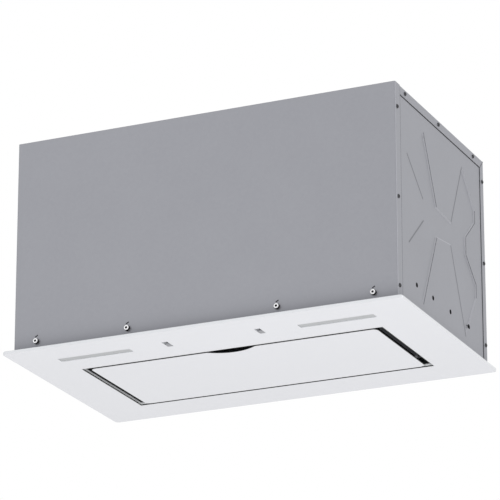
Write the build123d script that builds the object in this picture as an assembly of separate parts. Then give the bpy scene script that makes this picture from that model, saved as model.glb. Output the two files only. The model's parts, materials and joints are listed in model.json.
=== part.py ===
from build123d import *
import math
import os

# Built-in range hood: a white glass panel with a drop-down suction flap under a galvanised
# steel body that holds two grease filters and a double-inlet centrifugal blower.
# Millimetres. X runs along the front, Y to the back, Z up.
# The origin is the centre of the glass panel's underside, the face that looks at the hob.

# Glass panel
glass_width = 700.0
glass_depth = 418.0
glass_thickness = 5.0
glass_corner_radius = 6.0
glass_arris = 0.6

# Suction opening in the glass
opening_width = 532.0
opening_depth = 220.0
opening_front_margin = 124.0
opening_corner_radius = 2.0

# Lamp windows and switch slots in the glass, each one of a left and right pair
lamp_window_length = 130.0
lamp_window_depth = 16.0
lamp_window_x = 213.0
lamp_front_margin = 66.0
switch_slot_width = 10.0
switch_slot_depth = 25.0
switch_x = 81.5
switch_front_margin = 62.0
slot_corner_radius = 1.5

# Steel body, of folded sheet
body_width = 674.0
body_depth = 392.0
body_front_margin = 17.0
body_top = 370.0
sheet = 1.0
bend_radius = 2.0
front_flange = 20.0
back_flange = 16.0
top_flange = 15.6
top_return = 15.0
top_return_inset = 3.0
seam_gap = 0.4
wall_foot_gap = 0.3

# Stiffening cross pressed into each side panel, as (y, z) from its own centre
emboss_centre_z = 187.5
emboss_depth = 2.0
emboss_slope = 2.5
emboss_outline = [
    (-147, 78), (-73, 139), (-20, 28), (44, 23), (98, 138), (154, 80),
    (154, 58), (110, 19), (110, -12), (154, -50), (154, -74), (101, -155),
    (40, -18), (-21, -25), (-85, -159), (-144, -74), (-79, -16), (-80, 22),
]

# Holes in each side panel for the screws into the cabinet
cabinet_hole_radius = 2.6
cabinet_hole_z = 53.0
outer_hole_spacing = 228.0
outer_hole_y = 4.5
inner_hole_spacing = 76.0
inner_hole_y = -2.0

# Screws through the flanges into the side panels; the roof's are placed from the body's middle
flange_screw_radius = 1.7
flange_screw_head_radius = 3.4
flange_screw_head_height = 1.7
flange_screw_length = 8.0
front_flange_screw_z = (29.0, 177.0, 329.0)
back_flange_screw_z = (43.0, 186.0, 331.0)
top_flange_screw_y = (-154.0, -9.0, 148.0)
screw_recess = 0.45
front_flange_screw_inset = 8.0
back_flange_screw_inset = 7.0
top_flange_screw_drop = 7.5

# Socket-head screws along the foot of the front wall, with their nuts and the slits above
front_screw_x = (131.5, 296.0)
front_screw_z = 20.5
front_screw_radius = 2.5
front_screw_head_radius = 4.4
front_screw_head_height = 4.8
front_screw_head_round = 0.8
front_screw_socket = 4.0
front_screw_length = 12.0
front_screw_clearance = 0.3
front_nut_across = 8.0
front_nut_height = 4.0
slit_length = 5.5
slit_width = 1.8
slit_rise = 9.0
slit_angle = 30.0

# Mounting frame: a folded tray bonded on the glass
frame_sheet = 1.2
frame_height = 22.0
frame_corner_radius = 3.0
frame_window_gap = 0.5

# Suction throat round the opening
throat_setback = 2.0
throat_sheet = 1.0
throat_foot = 10.0
throat_top = 50.0
throat_lip = 8.0
throat_corner_radius = 4.0

# Flap that closes the opening and leaves the suction gap round its edge
flap_side_gap = 11.0
flap_front_gap = 3.5
flap_back_gap = 3.0
flap_glass_thickness = 4.0
flap_corner_radius = 11.0
notch_length = 85.0
notch_depth = 15.0
notch_blend = 14.0

# Folded steel pan bonded on the flap glass
pan_sheet = 1.0
pan_side_inset = 12.0
pan_end_inset = 8.0
pan_height = 8.0
pan_corner_radius = 3.0
pan_notch_length = 108.0
pan_notch_depth = 16.0
pan_ear_length = 18.0
pan_ear_rise = 14.0
pan_ear_round = 4.0

# Flap hinge: a pin at each end in a bush in the throat's wall
hinge_from_back = 24.0
hinge_z = 12.0
hinge_pin_radius = 2.5
hinge_pin_clearance = 0.05
hinge_pin_tail = 3.0
hinge_pin_head_radius = 4.0
hinge_pin_head = 1.5
hinge_end_play = 0.4
bush_radius = 4.0
bush_flange_radius = 4.6
bush_flange = 1.5
bush_length = 5.0
slot_clearance = 0.5

# Magnet catches over the flap's front edge
magnet_x = 200.0
magnet_width = 26.0
magnet_height = 10.0
magnet_gap = 0.3
magnet_reach = 18.0
striker_thickness = 1.0
striker_length = 30.0
striker_depth = 9.0

# Grease filters, side by side above the flap
filter_gap = 1.5
filter_height = 9.0
filter_border = 12.0
filter_corner = 4.0
filter_edge = 1.0
filter_front_gap = 3.0
filter_back_gap = 5.0
mesh_thickness = 3.0
mesh_seat = 4.0
mesh_corner = 1.0
mesh_pitch_x = 18.0
mesh_pitch_y = 12.0
mesh_strand = 3.4
tab_width = 24.0
tab_rise = 2.0
tab_reach = 3.5
tab_thickness = 3.0
tab_x = 75.0

# Spring latch at the front edge of each filter
latch_width = 34.0
latch_length = 30.0
latch_thickness = 3.0
latch_gap = 0.35
latch_bolt_width = 20.0
latch_bolt_reach = 3.0
latch_tab_height = 9.0
latch_tab_thickness = 3.0
latch_tab_inset = 4.0
latch_tab_round = 3.0
latch_setback = 2.0
guide_wall = 2.0
guide_end_inset = 0.8

# Lamp units
diffuser_recess = 0.8
diffuser_fit = 0.3
diffuser_flange = 3.0
diffuser_flange_thickness = 1.6
lamp_housing_wall = 1.5
lamp_housing_height = 14.0
lamp_housing_margin = 5.0
lamp_rib_height = 4.0
lamp_rib_thickness = 1.6
led_board_thickness = 1.6
led_board_gap = 0.5
led_chip_size = 3.0
led_chip_height = 0.8
led_count = 8

# Slide switches
switch_floor_z = 3.2
switch_fit = 0.25
switch_body_width = 20.0
switch_body_depth = 44.0
switch_body_height = 16.0
switch_body_corner = 2.0
knob_depth = 11.0
knob_gap = 0.4
knob_lift = 0.3
knob_stem_width = 3.0
knob_stem_depth = 4.0
knob_stem_top = 12.0
knob_travel = 12.0
knob_groove = 0.8
knob_groove_pitch = 2.2
knob_corner = 1.0

# Blower: impeller, scroll shells and motor on one axis along X
blower_y = -55.0
blower_z = 195.0
impeller_radius = 78.0
impeller_half_width = 61.0
impeller_ring = 2.0
blade_inner_radius = 65.0
blade_thickness = 1.2
blade_margin = 0.5
blade_count = 32
blade_sweep = 5.5
blade_bulge = 1.6
impeller_disc_thickness = 2.0
impeller_disc_x = 6.0
hub_radius = 13.0
hub_start = 2.0
hub_length = 18.0
shaft_radius = 4.0
shaft_clearance = 0.03
shaft_in_motor = 30.0
shaft_past_hub = 3.0
scroll_start_radius = 90.0
scroll_end_radius = 136.0
tongue_angle = 60.0
scroll_half_width = 77.0
scroll_wall = 2.5
scroll_flange = 8.0
scroll_flange_thickness = 3.0
scroll_flange_stop = 30.0
outlet_depth = 100.0
outlet_top = 318.0
outlet_rim = 8.0
inlet_radius = 66.0
inlet_lip = 5.0
inlet_lip_height = 6.0
shell_screw_angles = (105.0, 155.0, 205.0, 255.0, 305.0, 350.0)
shell_screw_radius = 1.7
shell_screw_head = 2.2

motor_radius = 40.0
motor_length = 76.0
motor_end_x = -3.0
motor_cap_radius = 30.0
motor_cap_length = 10.0
motor_slot_count = 12
motor_slot_x = 14.0
motor_slot = (16.0, 6.0, 8.0)
bracket_ring = 5.0
bracket_grip = 14.0
bracket_arm_width = 14.0
bracket_arm_thickness = 3.0
bracket_arm_count = 3
bush_pad_radius = 8.0
bush_pad_height = 6.0
bracket_screw_radius = 2.0
bracket_screw_head = 2.6

# Outlet adapter, duct collar and its two back-draught flaps
adapter_wall = 2.0
adapter_flange = 2.0
adapter_corner = 4.0
adapter_margin = 4.0
collar_radius = 74.0
collar_wall = 1.2
collar_height = 45.0
collar_flange = 16.0
collar_flange_thickness = 1.5
collar_hem = 0.8
collar_hem_height = 4.0
collar_foot = 1.5
collar_screw_count = 4
collar_screw_circle = 82.0
collar_screw_radius = 2.0
collar_screw_head = 2.2
damper_z = 386.0
damper_pin_radius = 1.8
damper_clearance = 0.05
damper_knuckle_radius = 3.4
damper_thickness = 1.2
damper_edge_gap = 0.8
damper_stop_lip = 3.0
damper_stop_thickness = 1.5
damper_stop_gap = 0.3
damper_knuckle_length = 16.0
damper_knuckle_gap = 0.6
damper_knuckle_count = 8

# Control box, run capacitor and cable gland
control_box_from_side = 77.0
control_box_from_front = 47.0
control_box_width = 150.0
control_box_depth = 100.0
control_box_height = 42.0
control_box_wall = 2.0
control_lid = 2.0
control_box_corner = 4.0
wire_hole_count = 4
wire_hole_radius = 4.0
wire_hole_rise = 12.0
board_rise = 14.0
board_thickness = 1.6
transformer_side = 40.0
transformer_height = 22.0
relay_count = 3
relay_pitch = 24.0
relay_width = 18.0
relay_depth = 16.0
relay_height = 14.0
post_inset = 7.0
post_radius = 3.0
capacitor_radius = 16.0
capacitor_length = 58.0
capacitor_from_side = 217.0
capacitor_gap = 30.0
capacitor_stud = 4.0
gland_from_side = 87.0
gland_from_back = 60.0
gland_hole_radius = 8.2
gland_thread_radius = 8.0
gland_across = 22.0
gland_height = 7.0
gland_dome_radius = 9.5
gland_dome_height = 9.0
gland_nut_height = 5.0
gland_bore_radius = 4.5

# Places worked out from the sizes above
panel_front = -glass_depth / 2
panel_top = glass_thickness
opening_front = panel_front + opening_front_margin
opening_back = opening_front + opening_depth
opening_y = (opening_front + opening_back) / 2
body_front = panel_front + body_front_margin
body_back = body_front + body_depth
body_y = (body_front + body_back) / 2
body_half = body_width / 2
wall_foot = panel_top + wall_foot_gap
roof = body_top - sheet
inner_bend = bend_radius - sheet
lamp_y = panel_front + lamp_front_margin
switch_y = panel_front + switch_front_margin
frame_top = panel_top + frame_sheet

throat_half = opening_width / 2 + throat_setback
throat_front = opening_front - throat_setback
throat_back = opening_back + throat_setback
throat_depth = throat_back - throat_front

flap_half = opening_width / 2 - flap_side_gap
flap_front = opening_front + flap_front_gap
flap_back = opening_back - flap_back_gap
flap_depth = flap_back - flap_front
flap_y = (flap_front + flap_back) / 2
pan_half = flap_half - pan_side_inset
pan_front = flap_front + pan_end_inset
pan_back = flap_back - pan_end_inset
pan_top = flap_glass_thickness + pan_height
hinge_y = flap_back - hinge_from_back

filter_top = throat_top - throat_sheet
filter_bottom = filter_top - filter_height
filter_front = throat_front + filter_front_gap
filter_back = throat_back - filter_back_gap
filter_depth = filter_back - filter_front
filter_width = throat_half - 1.5 * filter_gap
filter_x = (filter_gap + filter_width) / 2
filter_y = (filter_front + filter_back) / 2

outlet_back = blower_y + scroll_end_radius
outlet_front = outlet_back - outlet_depth
outlet_y = (outlet_back + outlet_front) / 2
collar_top = body_top + collar_height

control_box_x = body_half - control_box_from_side - control_box_width / 2
control_box_y = body_front + control_box_from_front + control_box_depth / 2
capacitor_x = body_half - capacitor_from_side
gland_x = body_half - gland_from_side
gland_y = body_back - gland_from_back


def block(x0, x1, y0, y1, z0, z1):
    # A box between two corners
    centre = Pos((x0 + x1) / 2, (y0 + y1) / 2, (z0 + z1) / 2)
    return centre * Box(x1 - x0, y1 - y0, z1 - z0)


def rod_x(radius, x0, x1, y, z):
    return Pos((x0 + x1) / 2, y, z) * Rot(0, 90, 0) * Cylinder(radius, abs(x1 - x0))


def rod_y(radius, y0, y1, x, z):
    return Pos(x, (y0 + y1) / 2, z) * Rot(90, 0, 0) * Cylinder(radius, abs(y1 - y0))


def rod_z(radius, z0, z1, x, y):
    return Pos(x, y, (z0 + z1) / 2) * Cylinder(radius, abs(z1 - z0))


def plate(width, depth, radius, x, y, z0, z1):
    # A plate with rounded corners, centred at x, y
    return extrude(Pos(x, y, z0) * RectangleRounded(width, depth, radius), z1 - z0)


def ring_plate(width, depth, radius, wall, x, y, z0, z1):
    # The wall of a rounded rectangular tube
    inner_radius = max(radius - wall, 0.2)
    outer = RectangleRounded(width, depth, radius)
    inner = RectangleRounded(width - 2 * wall, depth - 2 * wall, inner_radius)
    return extrude(Pos(x, y, z0) * (outer - inner), z1 - z0)


def hexagon(across_flats):
    return RegularPolygon(across_flats / math.sqrt(3), 6)


def both_sides(shape):
    return Part() + [shape, mirror(shape, Plane.YZ)]


# Glass panel


def glass_panel():
    panel = plate(glass_width, glass_depth, glass_corner_radius, 0, 0, 0, panel_top)
    panel -= plate(opening_width, opening_depth, opening_corner_radius, 0, opening_y, 0, panel_top)
    for side in (-1, 1):
        panel -= plate(
            lamp_window_length, lamp_window_depth, slot_corner_radius,
            side * lamp_window_x, lamp_y, 0, panel_top,
        )
        panel -= plate(
            switch_slot_width, switch_slot_depth, slot_corner_radius,
            side * switch_x, switch_y, 0, panel_top,
        )
    # Ground arris round the outline, top and bottom
    for face in (panel.faces().sort_by(Axis.Z)[0], panel.faces().sort_by(Axis.Z)[-1]):
        panel = chamfer(face.outer_wire().edges(), glass_arris)
    return panel


# Steel body


def body_ring(z0, z1):
    # Footprint of the folded walls, one sheet thick
    return ring_plate(body_width, body_depth, bend_radius, sheet, 0, body_y, z0, z1)


def flange_screw_places():
    # (y, z) of the screws through the flanges of one side
    places = [(body_front + front_flange_screw_inset, z) for z in front_flange_screw_z]
    places += [(body_back - back_flange_screw_inset, z) for z in back_flange_screw_z]
    places += [(body_y + y, body_top - top_flange_screw_drop) for y in top_flange_screw_y]
    return places


def flange_screw_holes():
    reach = body_half + 5
    holes = [rod_x(flange_screw_radius, -reach, reach, y, z) for y, z in flange_screw_places()]
    return Part() + holes


def front_screw_places():
    # X of the screws along the foot of the front wall
    return [side * x for side in (-1, 1) for x in front_screw_x]


def mitre_side(above):
    # What lies above or below the mitre line between the top flange and the back flange
    slope = top_flange / back_flange
    past = 2.0
    reach = back_flange + 10.0
    shift = seam_gap / 2 if above else -seam_gap / 2
    line = [
        (body_back + past + shift, body_top + past * slope),
        (body_back - reach + shift, body_top - reach * slope),
    ]
    corner = (line[1][0], line[0][1]) if above else (line[0][0], line[1][1])
    triangle = Plane.YZ.offset(-body_half - 1) * Polygon(*line, corner, align=None)
    wedge = extrude(triangle, body_width + 2, dir=(1, 0, 0))
    zone = block(body_half - sheet, body_half + 1, body_back - reach, body_back + 2, 0, body_top)
    return wedge & both_sides(zone)


def front_wall():
    wall = body_ring(wall_foot, body_top)
    wall &= block(-body_half, body_half, body_front, body_front + front_flange, wall_foot, body_top)
    # The fold under the roof sheet that the roof is screwed to
    fold_half = body_half - top_return_inset
    wall += block(-fold_half, fold_half, body_front + sheet, body_front + top_return, roof - sheet, roof)
    hole_radius = front_screw_radius + front_screw_clearance
    slit = Rot(0, -slit_angle, 0) * Box(slit_length, 4 * sheet, slit_width)
    for x in front_screw_places():
        wall -= rod_y(hole_radius, body_front - 1, body_front + 2 * sheet, x, front_screw_z)
        wall -= Pos(x, body_front, front_screw_z + slit_rise) * slit
    return wall - flange_screw_holes()


def back_wall():
    wall = body_ring(wall_foot, roof)
    wall &= block(-body_half, body_half, body_back - back_flange, body_back, wall_foot, roof)
    wall -= mitre_side(True) & block(-body_half, body_half, 0, body_back - bend_radius, 0, body_top)
    return wall - flange_screw_holes()


def top_wall():
    profile = RectangleRounded(body_width, 2 * top_flange, bend_radius)
    profile -= RectangleRounded(body_width - 2 * sheet, 2 * (top_flange - sheet), inner_bend)
    profile &= Pos(0, top_flange / 2) * Rectangle(body_width, top_flange)
    start = body_front + sheet
    # The fold is drawn across the body, looking along Y
    section = Plane((0, start, body_top - top_flange), x_dir=(1, 0, 0), z_dir=(0, -1, 0)) * profile
    wall = extrude(section, -(body_back - start))
    flange_start = body_front + front_flange + seam_gap
    for side in (-1, 1):
        inner = side * (body_half - bend_radius)
        outer = side * (body_half + 1)
        wall -= block(min(inner, outer), max(inner, outer), start - 1, flange_start, 0, body_top + 1)
    wall -= mitre_side(False) & block(-body_half, body_half, 0, body_back, 0, roof)
    corner_zone = block(
        body_half - bend_radius, body_half, body_back - bend_radius - seam_gap, body_back, 0, roof
    )
    wall -= both_sides(corner_zone)
    wall -= rod_z(collar_radius + 1, 0, body_top + 1, 0, outlet_y)
    for x, y in collar_screw_places():
        wall -= rod_z(collar_screw_radius, 0, body_top + 1, x, y)
    wall -= rod_z(gland_hole_radius, 0, body_top + 1, gland_x, gland_y)
    return wall - flange_screw_holes()


def emboss(face_x):
    # The pressed cross, with sloping sides, sunk from the given face
    centre = Pos(body_y, emboss_centre_z)
    cross = centre * Polygon(*emboss_outline, align=None)
    floor = offset(cross, amount=-emboss_slope, kind=Kind.INTERSECTION)
    rim = Plane.YZ.offset(face_x) * cross
    sunk = Plane.YZ.offset(face_x - emboss_depth) * floor
    return loft(Sketch() + [sunk, rim], ruled=True)


def side_panel():
    # Right-hand panel; the left one is its mirror image
    inner = body_half - 2 * sheet
    outer = body_half - sheet
    y0 = body_front + sheet + inner_bend
    y1 = body_back - sheet - inner_bend
    z1 = roof - inner_bend
    panel = block(inner, outer, y0, y1, wall_foot, z1)
    panel = panel + emboss(inner) - emboss(outer)
    for middle, spacing in ((outer_hole_y, outer_hole_spacing), (inner_hole_y, inner_hole_spacing)):
        for end in (-0.5, 0.5):
            hole_y = middle + end * spacing
            panel -= rod_x(cabinet_hole_radius, inner - 1, outer + 1, hole_y, cabinet_hole_z)
    return panel - flange_screw_holes()


def flange_screws():
    screws = []
    start = body_half - flange_screw_length + 1.0
    for y, z in flange_screw_places():
        head = rod_x(flange_screw_head_radius, body_half, body_half + flange_screw_head_height, y, z)
        rim = head.edges().filter_by(GeomType.CIRCLE).sort_by(Axis.X)[-1]
        head = chamfer(rim, flange_screw_head_height * 0.5)
        # Cross recess
        recess_floor = body_half + flange_screw_head_height * 0.5
        long_half = flange_screw_head_radius * 0.55
        for half_y, half_z in ((long_half, screw_recess), (screw_recess, long_half)):
            head -= block(
                recess_floor, recess_floor + flange_screw_head_height,
                y - half_y, y + half_y, z - half_z, z + half_z,
            )
        screws.append(head + rod_x(flange_screw_radius - 0.05, start, body_half, y, z))
    return both_sides(Part() + screws)


def front_screws():
    screws = []
    face = body_front - front_screw_head_height
    tip = body_front + front_screw_length
    for x in front_screw_places():
        head = rod_y(front_screw_head_radius, face, body_front, x, front_screw_z)
        rim = head.edges().filter_by(GeomType.CIRCLE).sort_by(Axis.Y)[0]
        head = fillet(rim, front_screw_head_round)
        socket = Plane((x, face, front_screw_z), z_dir=(0, 1, 0))
        head -= extrude(socket * hexagon(front_screw_socket), front_screw_head_height * 0.6)
        screws.append(head + rod_y(front_screw_radius - 0.1, body_front, tip, x, front_screw_z))
    return Part() + screws


def front_nuts():
    # Hexagon nuts on the inside of the mounting frame's front fold
    nuts = []
    face = body_front + sheet + frame_sheet
    end = face + front_nut_height
    for x in front_screw_places():
        seat = Plane((x, face, front_screw_z), z_dir=(0, 1, 0))
        nut = extrude(seat * hexagon(front_nut_across), front_nut_height)
        nuts.append(nut - rod_y(front_screw_radius, face - 1, end + 1, x, front_screw_z))
    return Part() + nuts


# Mounting frame and suction throat


def mounting_frame():
    width = body_width - 4 * sheet
    depth = body_depth - 2 * sheet
    tray = plate(width, depth, frame_corner_radius, 0, body_y, panel_top, panel_top + frame_height)
    tray -= plate(
        width - 2 * frame_sheet, depth - 2 * frame_sheet, frame_corner_radius - frame_sheet,
        0, body_y, frame_top, panel_top + frame_height + 1,
    )
    tray -= plate(
        2 * throat_half, throat_depth, throat_corner_radius - throat_sheet, 0, opening_y, 0, frame_top + 1
    )
    for side in (-1, 1):
        tray -= plate(
            lamp_window_length + 2 * lamp_housing_margin + 2 * frame_window_gap,
            lamp_window_depth + 2 * lamp_housing_margin + 2 * frame_window_gap,
            slot_corner_radius, side * lamp_window_x, lamp_y, 0, frame_top + 1,
        )
        tray -= plate(
            switch_body_width + 2 * frame_window_gap, switch_body_depth + 2 * frame_window_gap,
            slot_corner_radius, side * switch_x, switch_y, 0, frame_top + 1,
        )
    hole_radius = front_screw_radius + front_screw_clearance
    for x in front_screw_places():
        tray -= rod_y(hole_radius, body_front, body_front + sheet + 2 * frame_sheet, x, front_screw_z)
    # Clearance for the cabinet screws and the flange screws that cross the folds
    reach = body_half + 5
    for middle, spacing in ((outer_hole_y, outer_hole_spacing), (inner_hole_y, inner_hole_spacing)):
        for end in (-0.5, 0.5):
            tray -= rod_x(cabinet_hole_radius + 2, -reach, reach, middle + end * spacing, cabinet_hole_z)
    return tray - flange_screw_holes()


def suction_throat():
    width = 2 * (throat_half + throat_sheet)
    depth = throat_depth + 2 * throat_sheet
    throat = ring_plate(
        width, depth, throat_corner_radius, throat_sheet, 0, opening_y, frame_top, throat_top
    )
    # Foot turned out on the mounting frame, and the lip turned in over the filters
    throat += ring_plate(
        width + 2 * throat_foot, depth + 2 * throat_foot, throat_corner_radius,
        throat_foot + throat_sheet / 2, 0, opening_y, frame_top, frame_top + throat_sheet,
    )
    throat += ring_plate(
        width, depth, throat_corner_radius, throat_lip + throat_sheet, 0, opening_y, filter_top, throat_top
    )
    # Holes for the hinge bushes, the filters' tabs at the back and their bolts at the front
    hole_end = throat_half + 2 * throat_sheet
    holes = rod_x(bush_radius + hinge_pin_clearance, throat_half - 3, hole_end, hinge_y, hinge_z)
    tab_low, tab_high = tab_z()
    tab_half = tab_width / 2 + slot_clearance
    for x in tab_places():
        holes += block(
            x - tab_half, x + tab_half,
            throat_back - slot_clearance, throat_back + throat_sheet + slot_clearance,
            tab_low - slot_clearance, tab_high + slot_clearance,
        )
    bolt_low, bolt_high = latch_z()
    bolt_half = latch_bolt_width / 2 + slot_clearance
    holes += block(
        filter_x - bolt_half, filter_x + bolt_half,
        throat_front - throat_sheet - slot_clearance, throat_front + slot_clearance,
        bolt_low - slot_clearance, bolt_high + slot_clearance,
    )
    return throat - both_sides(holes)


def hinge_bushes():
    # Plastic bushes pushed through the throat's side walls from outside
    seat = throat_half + throat_sheet
    end = seat + bush_length
    bush = rod_x(bush_radius, throat_half - 1, end, hinge_y, hinge_z)
    bush += rod_x(bush_flange_radius, seat, seat + bush_flange, hinge_y, hinge_z)
    bush -= rod_x(hinge_pin_radius + hinge_pin_clearance, throat_half - 2, end + 1, hinge_y, hinge_z)
    return both_sides(bush)


def magnet_catches():
    low = pan_top + striker_thickness + magnet_gap
    catch = block(
        magnet_x - magnet_width / 2, magnet_x + magnet_width / 2,
        throat_front, throat_front + magnet_reach, low, low + magnet_height,
    )
    catch = fillet(catch.edges().filter_by(Axis.X).sort_by(Axis.Y)[-2:], 2)
    return both_sides(catch)


# Flap


def flap_glass():
    glass = plate(2 * flap_half, flap_depth, flap_corner_radius, 0, flap_y, 0, flap_glass_thickness)
    radius = (notch_length**2 / 4 + notch_depth**2) / (2 * notch_depth)
    glass -= rod_z(radius, -1, flap_glass_thickness + 1, 0, flap_front + notch_depth - radius)
    # Blend the notch into the front edge
    notch_ends = [
        edge for edge in glass.edges().filter_by(Axis.Z)
        if edge.center().Y < flap_front + 1 and abs(edge.center().X) < notch_length / 2 + 1
    ]
    glass = fillet(notch_ends, notch_blend)
    return chamfer(glass.edges().filter_by(Plane.XY), glass_arris)


def flap_pan():
    width = 2 * pan_half
    depth = pan_back - pan_front
    y = (pan_front + pan_back) / 2
    pan = plate(width, depth, pan_corner_radius, 0, y, flap_glass_thickness, pan_top)
    pan -= plate(
        width - 2 * pan_sheet, depth - 2 * pan_sheet, pan_corner_radius - pan_sheet,
        0, y, flap_glass_thickness + pan_sheet, pan_top + 1,
    )
    # The front fold steps back behind the finger notch
    half = pan_notch_length / 2
    step = pan_front + pan_notch_depth
    inside = half - pan_sheet
    pan += block(-half, half, pan_front, step + pan_sheet, flap_glass_thickness, pan_top)
    pan -= block(-inside, inside, pan_front - 1, step, flap_glass_thickness - 1, pan_top + 1)
    # Ears that carry the hinge pins
    ear = block(
        pan_half - pan_sheet, pan_half, hinge_y - pan_ear_length / 2, hinge_y + pan_ear_length / 2,
        flap_glass_thickness, flap_glass_thickness + pan_ear_rise,
    )
    ear = fillet(ear.edges().filter_by(Axis.X).sort_by(Axis.Z)[-2:], pan_ear_round)
    pan += both_sides(ear)
    for side in (-1, 1):
        x = side * pan_half
        pan -= rod_x(hinge_pin_radius + hinge_pin_clearance, x - 4, x + 4, hinge_y, hinge_z)
    return pan


def flap_hinge_pins():
    ear = pan_half - pan_sheet
    end = throat_half + throat_sheet + bush_length - 0.5
    pin = rod_x(hinge_pin_radius, ear - hinge_pin_tail, end, hinge_y, hinge_z)
    pin += rod_x(hinge_pin_head_radius, ear - hinge_pin_head, ear, hinge_y, hinge_z)
    # Collar outside the ear, which keeps the flap centred between the bushes
    pin += rod_x(hinge_pin_head_radius, pan_half, throat_half - 1 - hinge_end_play, hinge_y, hinge_z)
    return both_sides(pin)


def flap_strikers():
    # Steel tabs on the pan's front fold, under the magnets
    striker = block(
        magnet_x - striker_length / 2, magnet_x + striker_length / 2,
        pan_front, pan_front + striker_depth, pan_top, pan_top + striker_thickness,
    )
    striker = chamfer(striker.edges().filter_by(Axis.Z), 2)
    return both_sides(striker)


# Grease filters


def tab_places():
    # X of the tabs along the back edge of the right-hand filter
    return (filter_x - tab_x, filter_x + tab_x)


def tab_z():
    low = filter_bottom + tab_rise
    return low, low + tab_thickness


def filter_frame():
    # Right-hand filter; the left one is its mirror image
    frame = ring_plate(
        filter_width, filter_depth, filter_corner, filter_border,
        filter_x, filter_y, filter_bottom, filter_top,
    )
    middle = (filter_bottom + filter_top) / 2
    frame -= plate(
        filter_width - 2 * filter_border + 2 * mesh_seat, filter_depth - 2 * filter_border + 2 * mesh_seat,
        mesh_corner, filter_x, filter_y, middle - mesh_thickness / 2, middle + mesh_thickness / 2,
    )
    frame = chamfer(frame.faces().sort_by(Axis.Z)[0].outer_wire().edges(), filter_edge)
    low, high = tab_z()
    for x in tab_places():
        frame += block(
            x - tab_width / 2, x + tab_width / 2, filter_back - 1, throat_back + throat_sheet + tab_reach,
            low, high,
        )
    return frame


def filter_mesh():
    # Expanded sheet: rows of diamond holes, each row half a pitch along from the last
    width = filter_width - 2 * filter_border + 2 * mesh_seat - 0.4
    depth = filter_depth - 2 * filter_border + 2 * mesh_seat - 0.4
    middle = (filter_bottom + filter_top) / 2
    z0 = middle - mesh_thickness / 2 + 0.1
    z1 = middle + mesh_thickness / 2 - 0.1
    net = RectangleRounded(width, depth, mesh_corner)
    long_half = mesh_pitch_x / 2 - mesh_strand * 0.8
    short_half = mesh_pitch_y / 2 - mesh_strand * 0.6
    corners = ((-long_half, 0), (0, short_half), (long_half, 0), (0, -short_half))
    diamond = Polygon(*corners, align=None)
    rows = int((depth - 2 * mesh_seat) / (mesh_pitch_y / 2))
    holes = []
    for row in range(rows):
        y = (row - (rows - 1) / 2) * mesh_pitch_y / 2
        count = int((width - 2 * mesh_seat) / mesh_pitch_x) - row % 2
        if abs(y) + short_half > depth / 2 - mesh_seat:
            continue
        for column in range(count):
            x = (column - (count - 1) / 2) * mesh_pitch_x
            holes.append(Pos(x, y) * diamond)
    net -= holes
    return extrude(Pos(filter_x, filter_y, z0) * net, z1 - z0)


def latch_z():
    top = filter_bottom - latch_gap
    return top - latch_thickness, top


def filter_latch():
    # Slider with a bolt at the front and a finger tab below
    low, high = latch_z()
    y0 = filter_front + latch_setback
    y1 = y0 + latch_length
    half = latch_width / 2
    bolt_half = latch_bolt_width / 2
    bolt_tip = throat_front - throat_sheet - latch_bolt_reach
    slider = block(filter_x - half, filter_x + half, y0, y1, low, high)
    slider += block(filter_x - bolt_half, filter_x + bolt_half, bolt_tip, y0 + 1, low, high)
    tab_half = half - latch_tab_inset
    tab = block(
        filter_x - tab_half, filter_x + tab_half, y1 - latch_tab_thickness, y1,
        low - latch_tab_height, low + 1,
    )
    tab = fillet(tab.edges().filter_by(Axis.Y).sort_by(Axis.Z)[:2], latch_tab_round)
    return slider + tab


def latch_guide():
    # Channel riveted under the filter's front border, open towards the back
    low, high = latch_z()
    y0 = filter_front + guide_end_inset
    y1 = filter_front + filter_border - guide_end_inset
    half = latch_width / 2 + latch_gap
    guide = block(
        filter_x - half - guide_wall, filter_x + half + guide_wall, y0, y1,
        low - latch_gap - guide_wall, filter_bottom,
    )
    guide -= block(filter_x - half, filter_x + half, y0 - 1, y1 + 1, low - latch_gap, filter_bottom + 1)
    return guide


# Lamps and switches


def lamp_diffuser():
    length = lamp_window_length - 2 * diffuser_fit
    depth = lamp_window_depth - 2 * diffuser_fit
    lens = plate(
        length, depth, slot_corner_radius - diffuser_fit, lamp_window_x, lamp_y, diffuser_recess, panel_top
    )
    lens += plate(
        length + 2 * diffuser_flange, depth + 2 * diffuser_flange, slot_corner_radius,
        lamp_window_x, lamp_y, panel_top, panel_top + diffuser_flange_thickness,
    )
    return lens


def lamp_housing():
    length = lamp_window_length + 2 * lamp_housing_margin
    depth = lamp_window_depth + 2 * lamp_housing_margin
    top = panel_top + lamp_housing_height
    housing = plate(length, depth, slot_corner_radius, lamp_window_x, lamp_y, panel_top, top)
    housing -= plate(
        length - 2 * lamp_housing_wall, depth - 2 * lamp_housing_wall, 0.4,
        lamp_window_x, lamp_y, panel_top, top - lamp_housing_wall,
    )
    # Cooling ribs along the back of the channel
    half = length / 2 - 2
    for rib in (-1, 0, 1):
        y = lamp_y + rib * depth / 4
        housing += block(
            lamp_window_x - half, lamp_window_x + half,
            y - lamp_rib_thickness / 2, y + lamp_rib_thickness / 2, top - 0.5, top + lamp_rib_height,
        )
    return housing


def led_board():
    inset = lamp_housing_wall + led_board_gap - lamp_housing_margin
    length = lamp_window_length - 2 * inset
    depth = lamp_window_depth - 2 * inset
    top = panel_top + lamp_housing_height - lamp_housing_wall
    low = top - led_board_thickness
    board = plate(length, depth, led_board_gap, lamp_window_x, lamp_y, low, top)
    pitch = lamp_window_length / led_count
    half = led_chip_size / 2
    for index in range(led_count):
        x = lamp_window_x + (index - (led_count - 1) / 2) * pitch
        board += block(x - half, x + half, lamp_y - half, lamp_y + half, low - led_chip_height, low)
    return board


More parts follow.
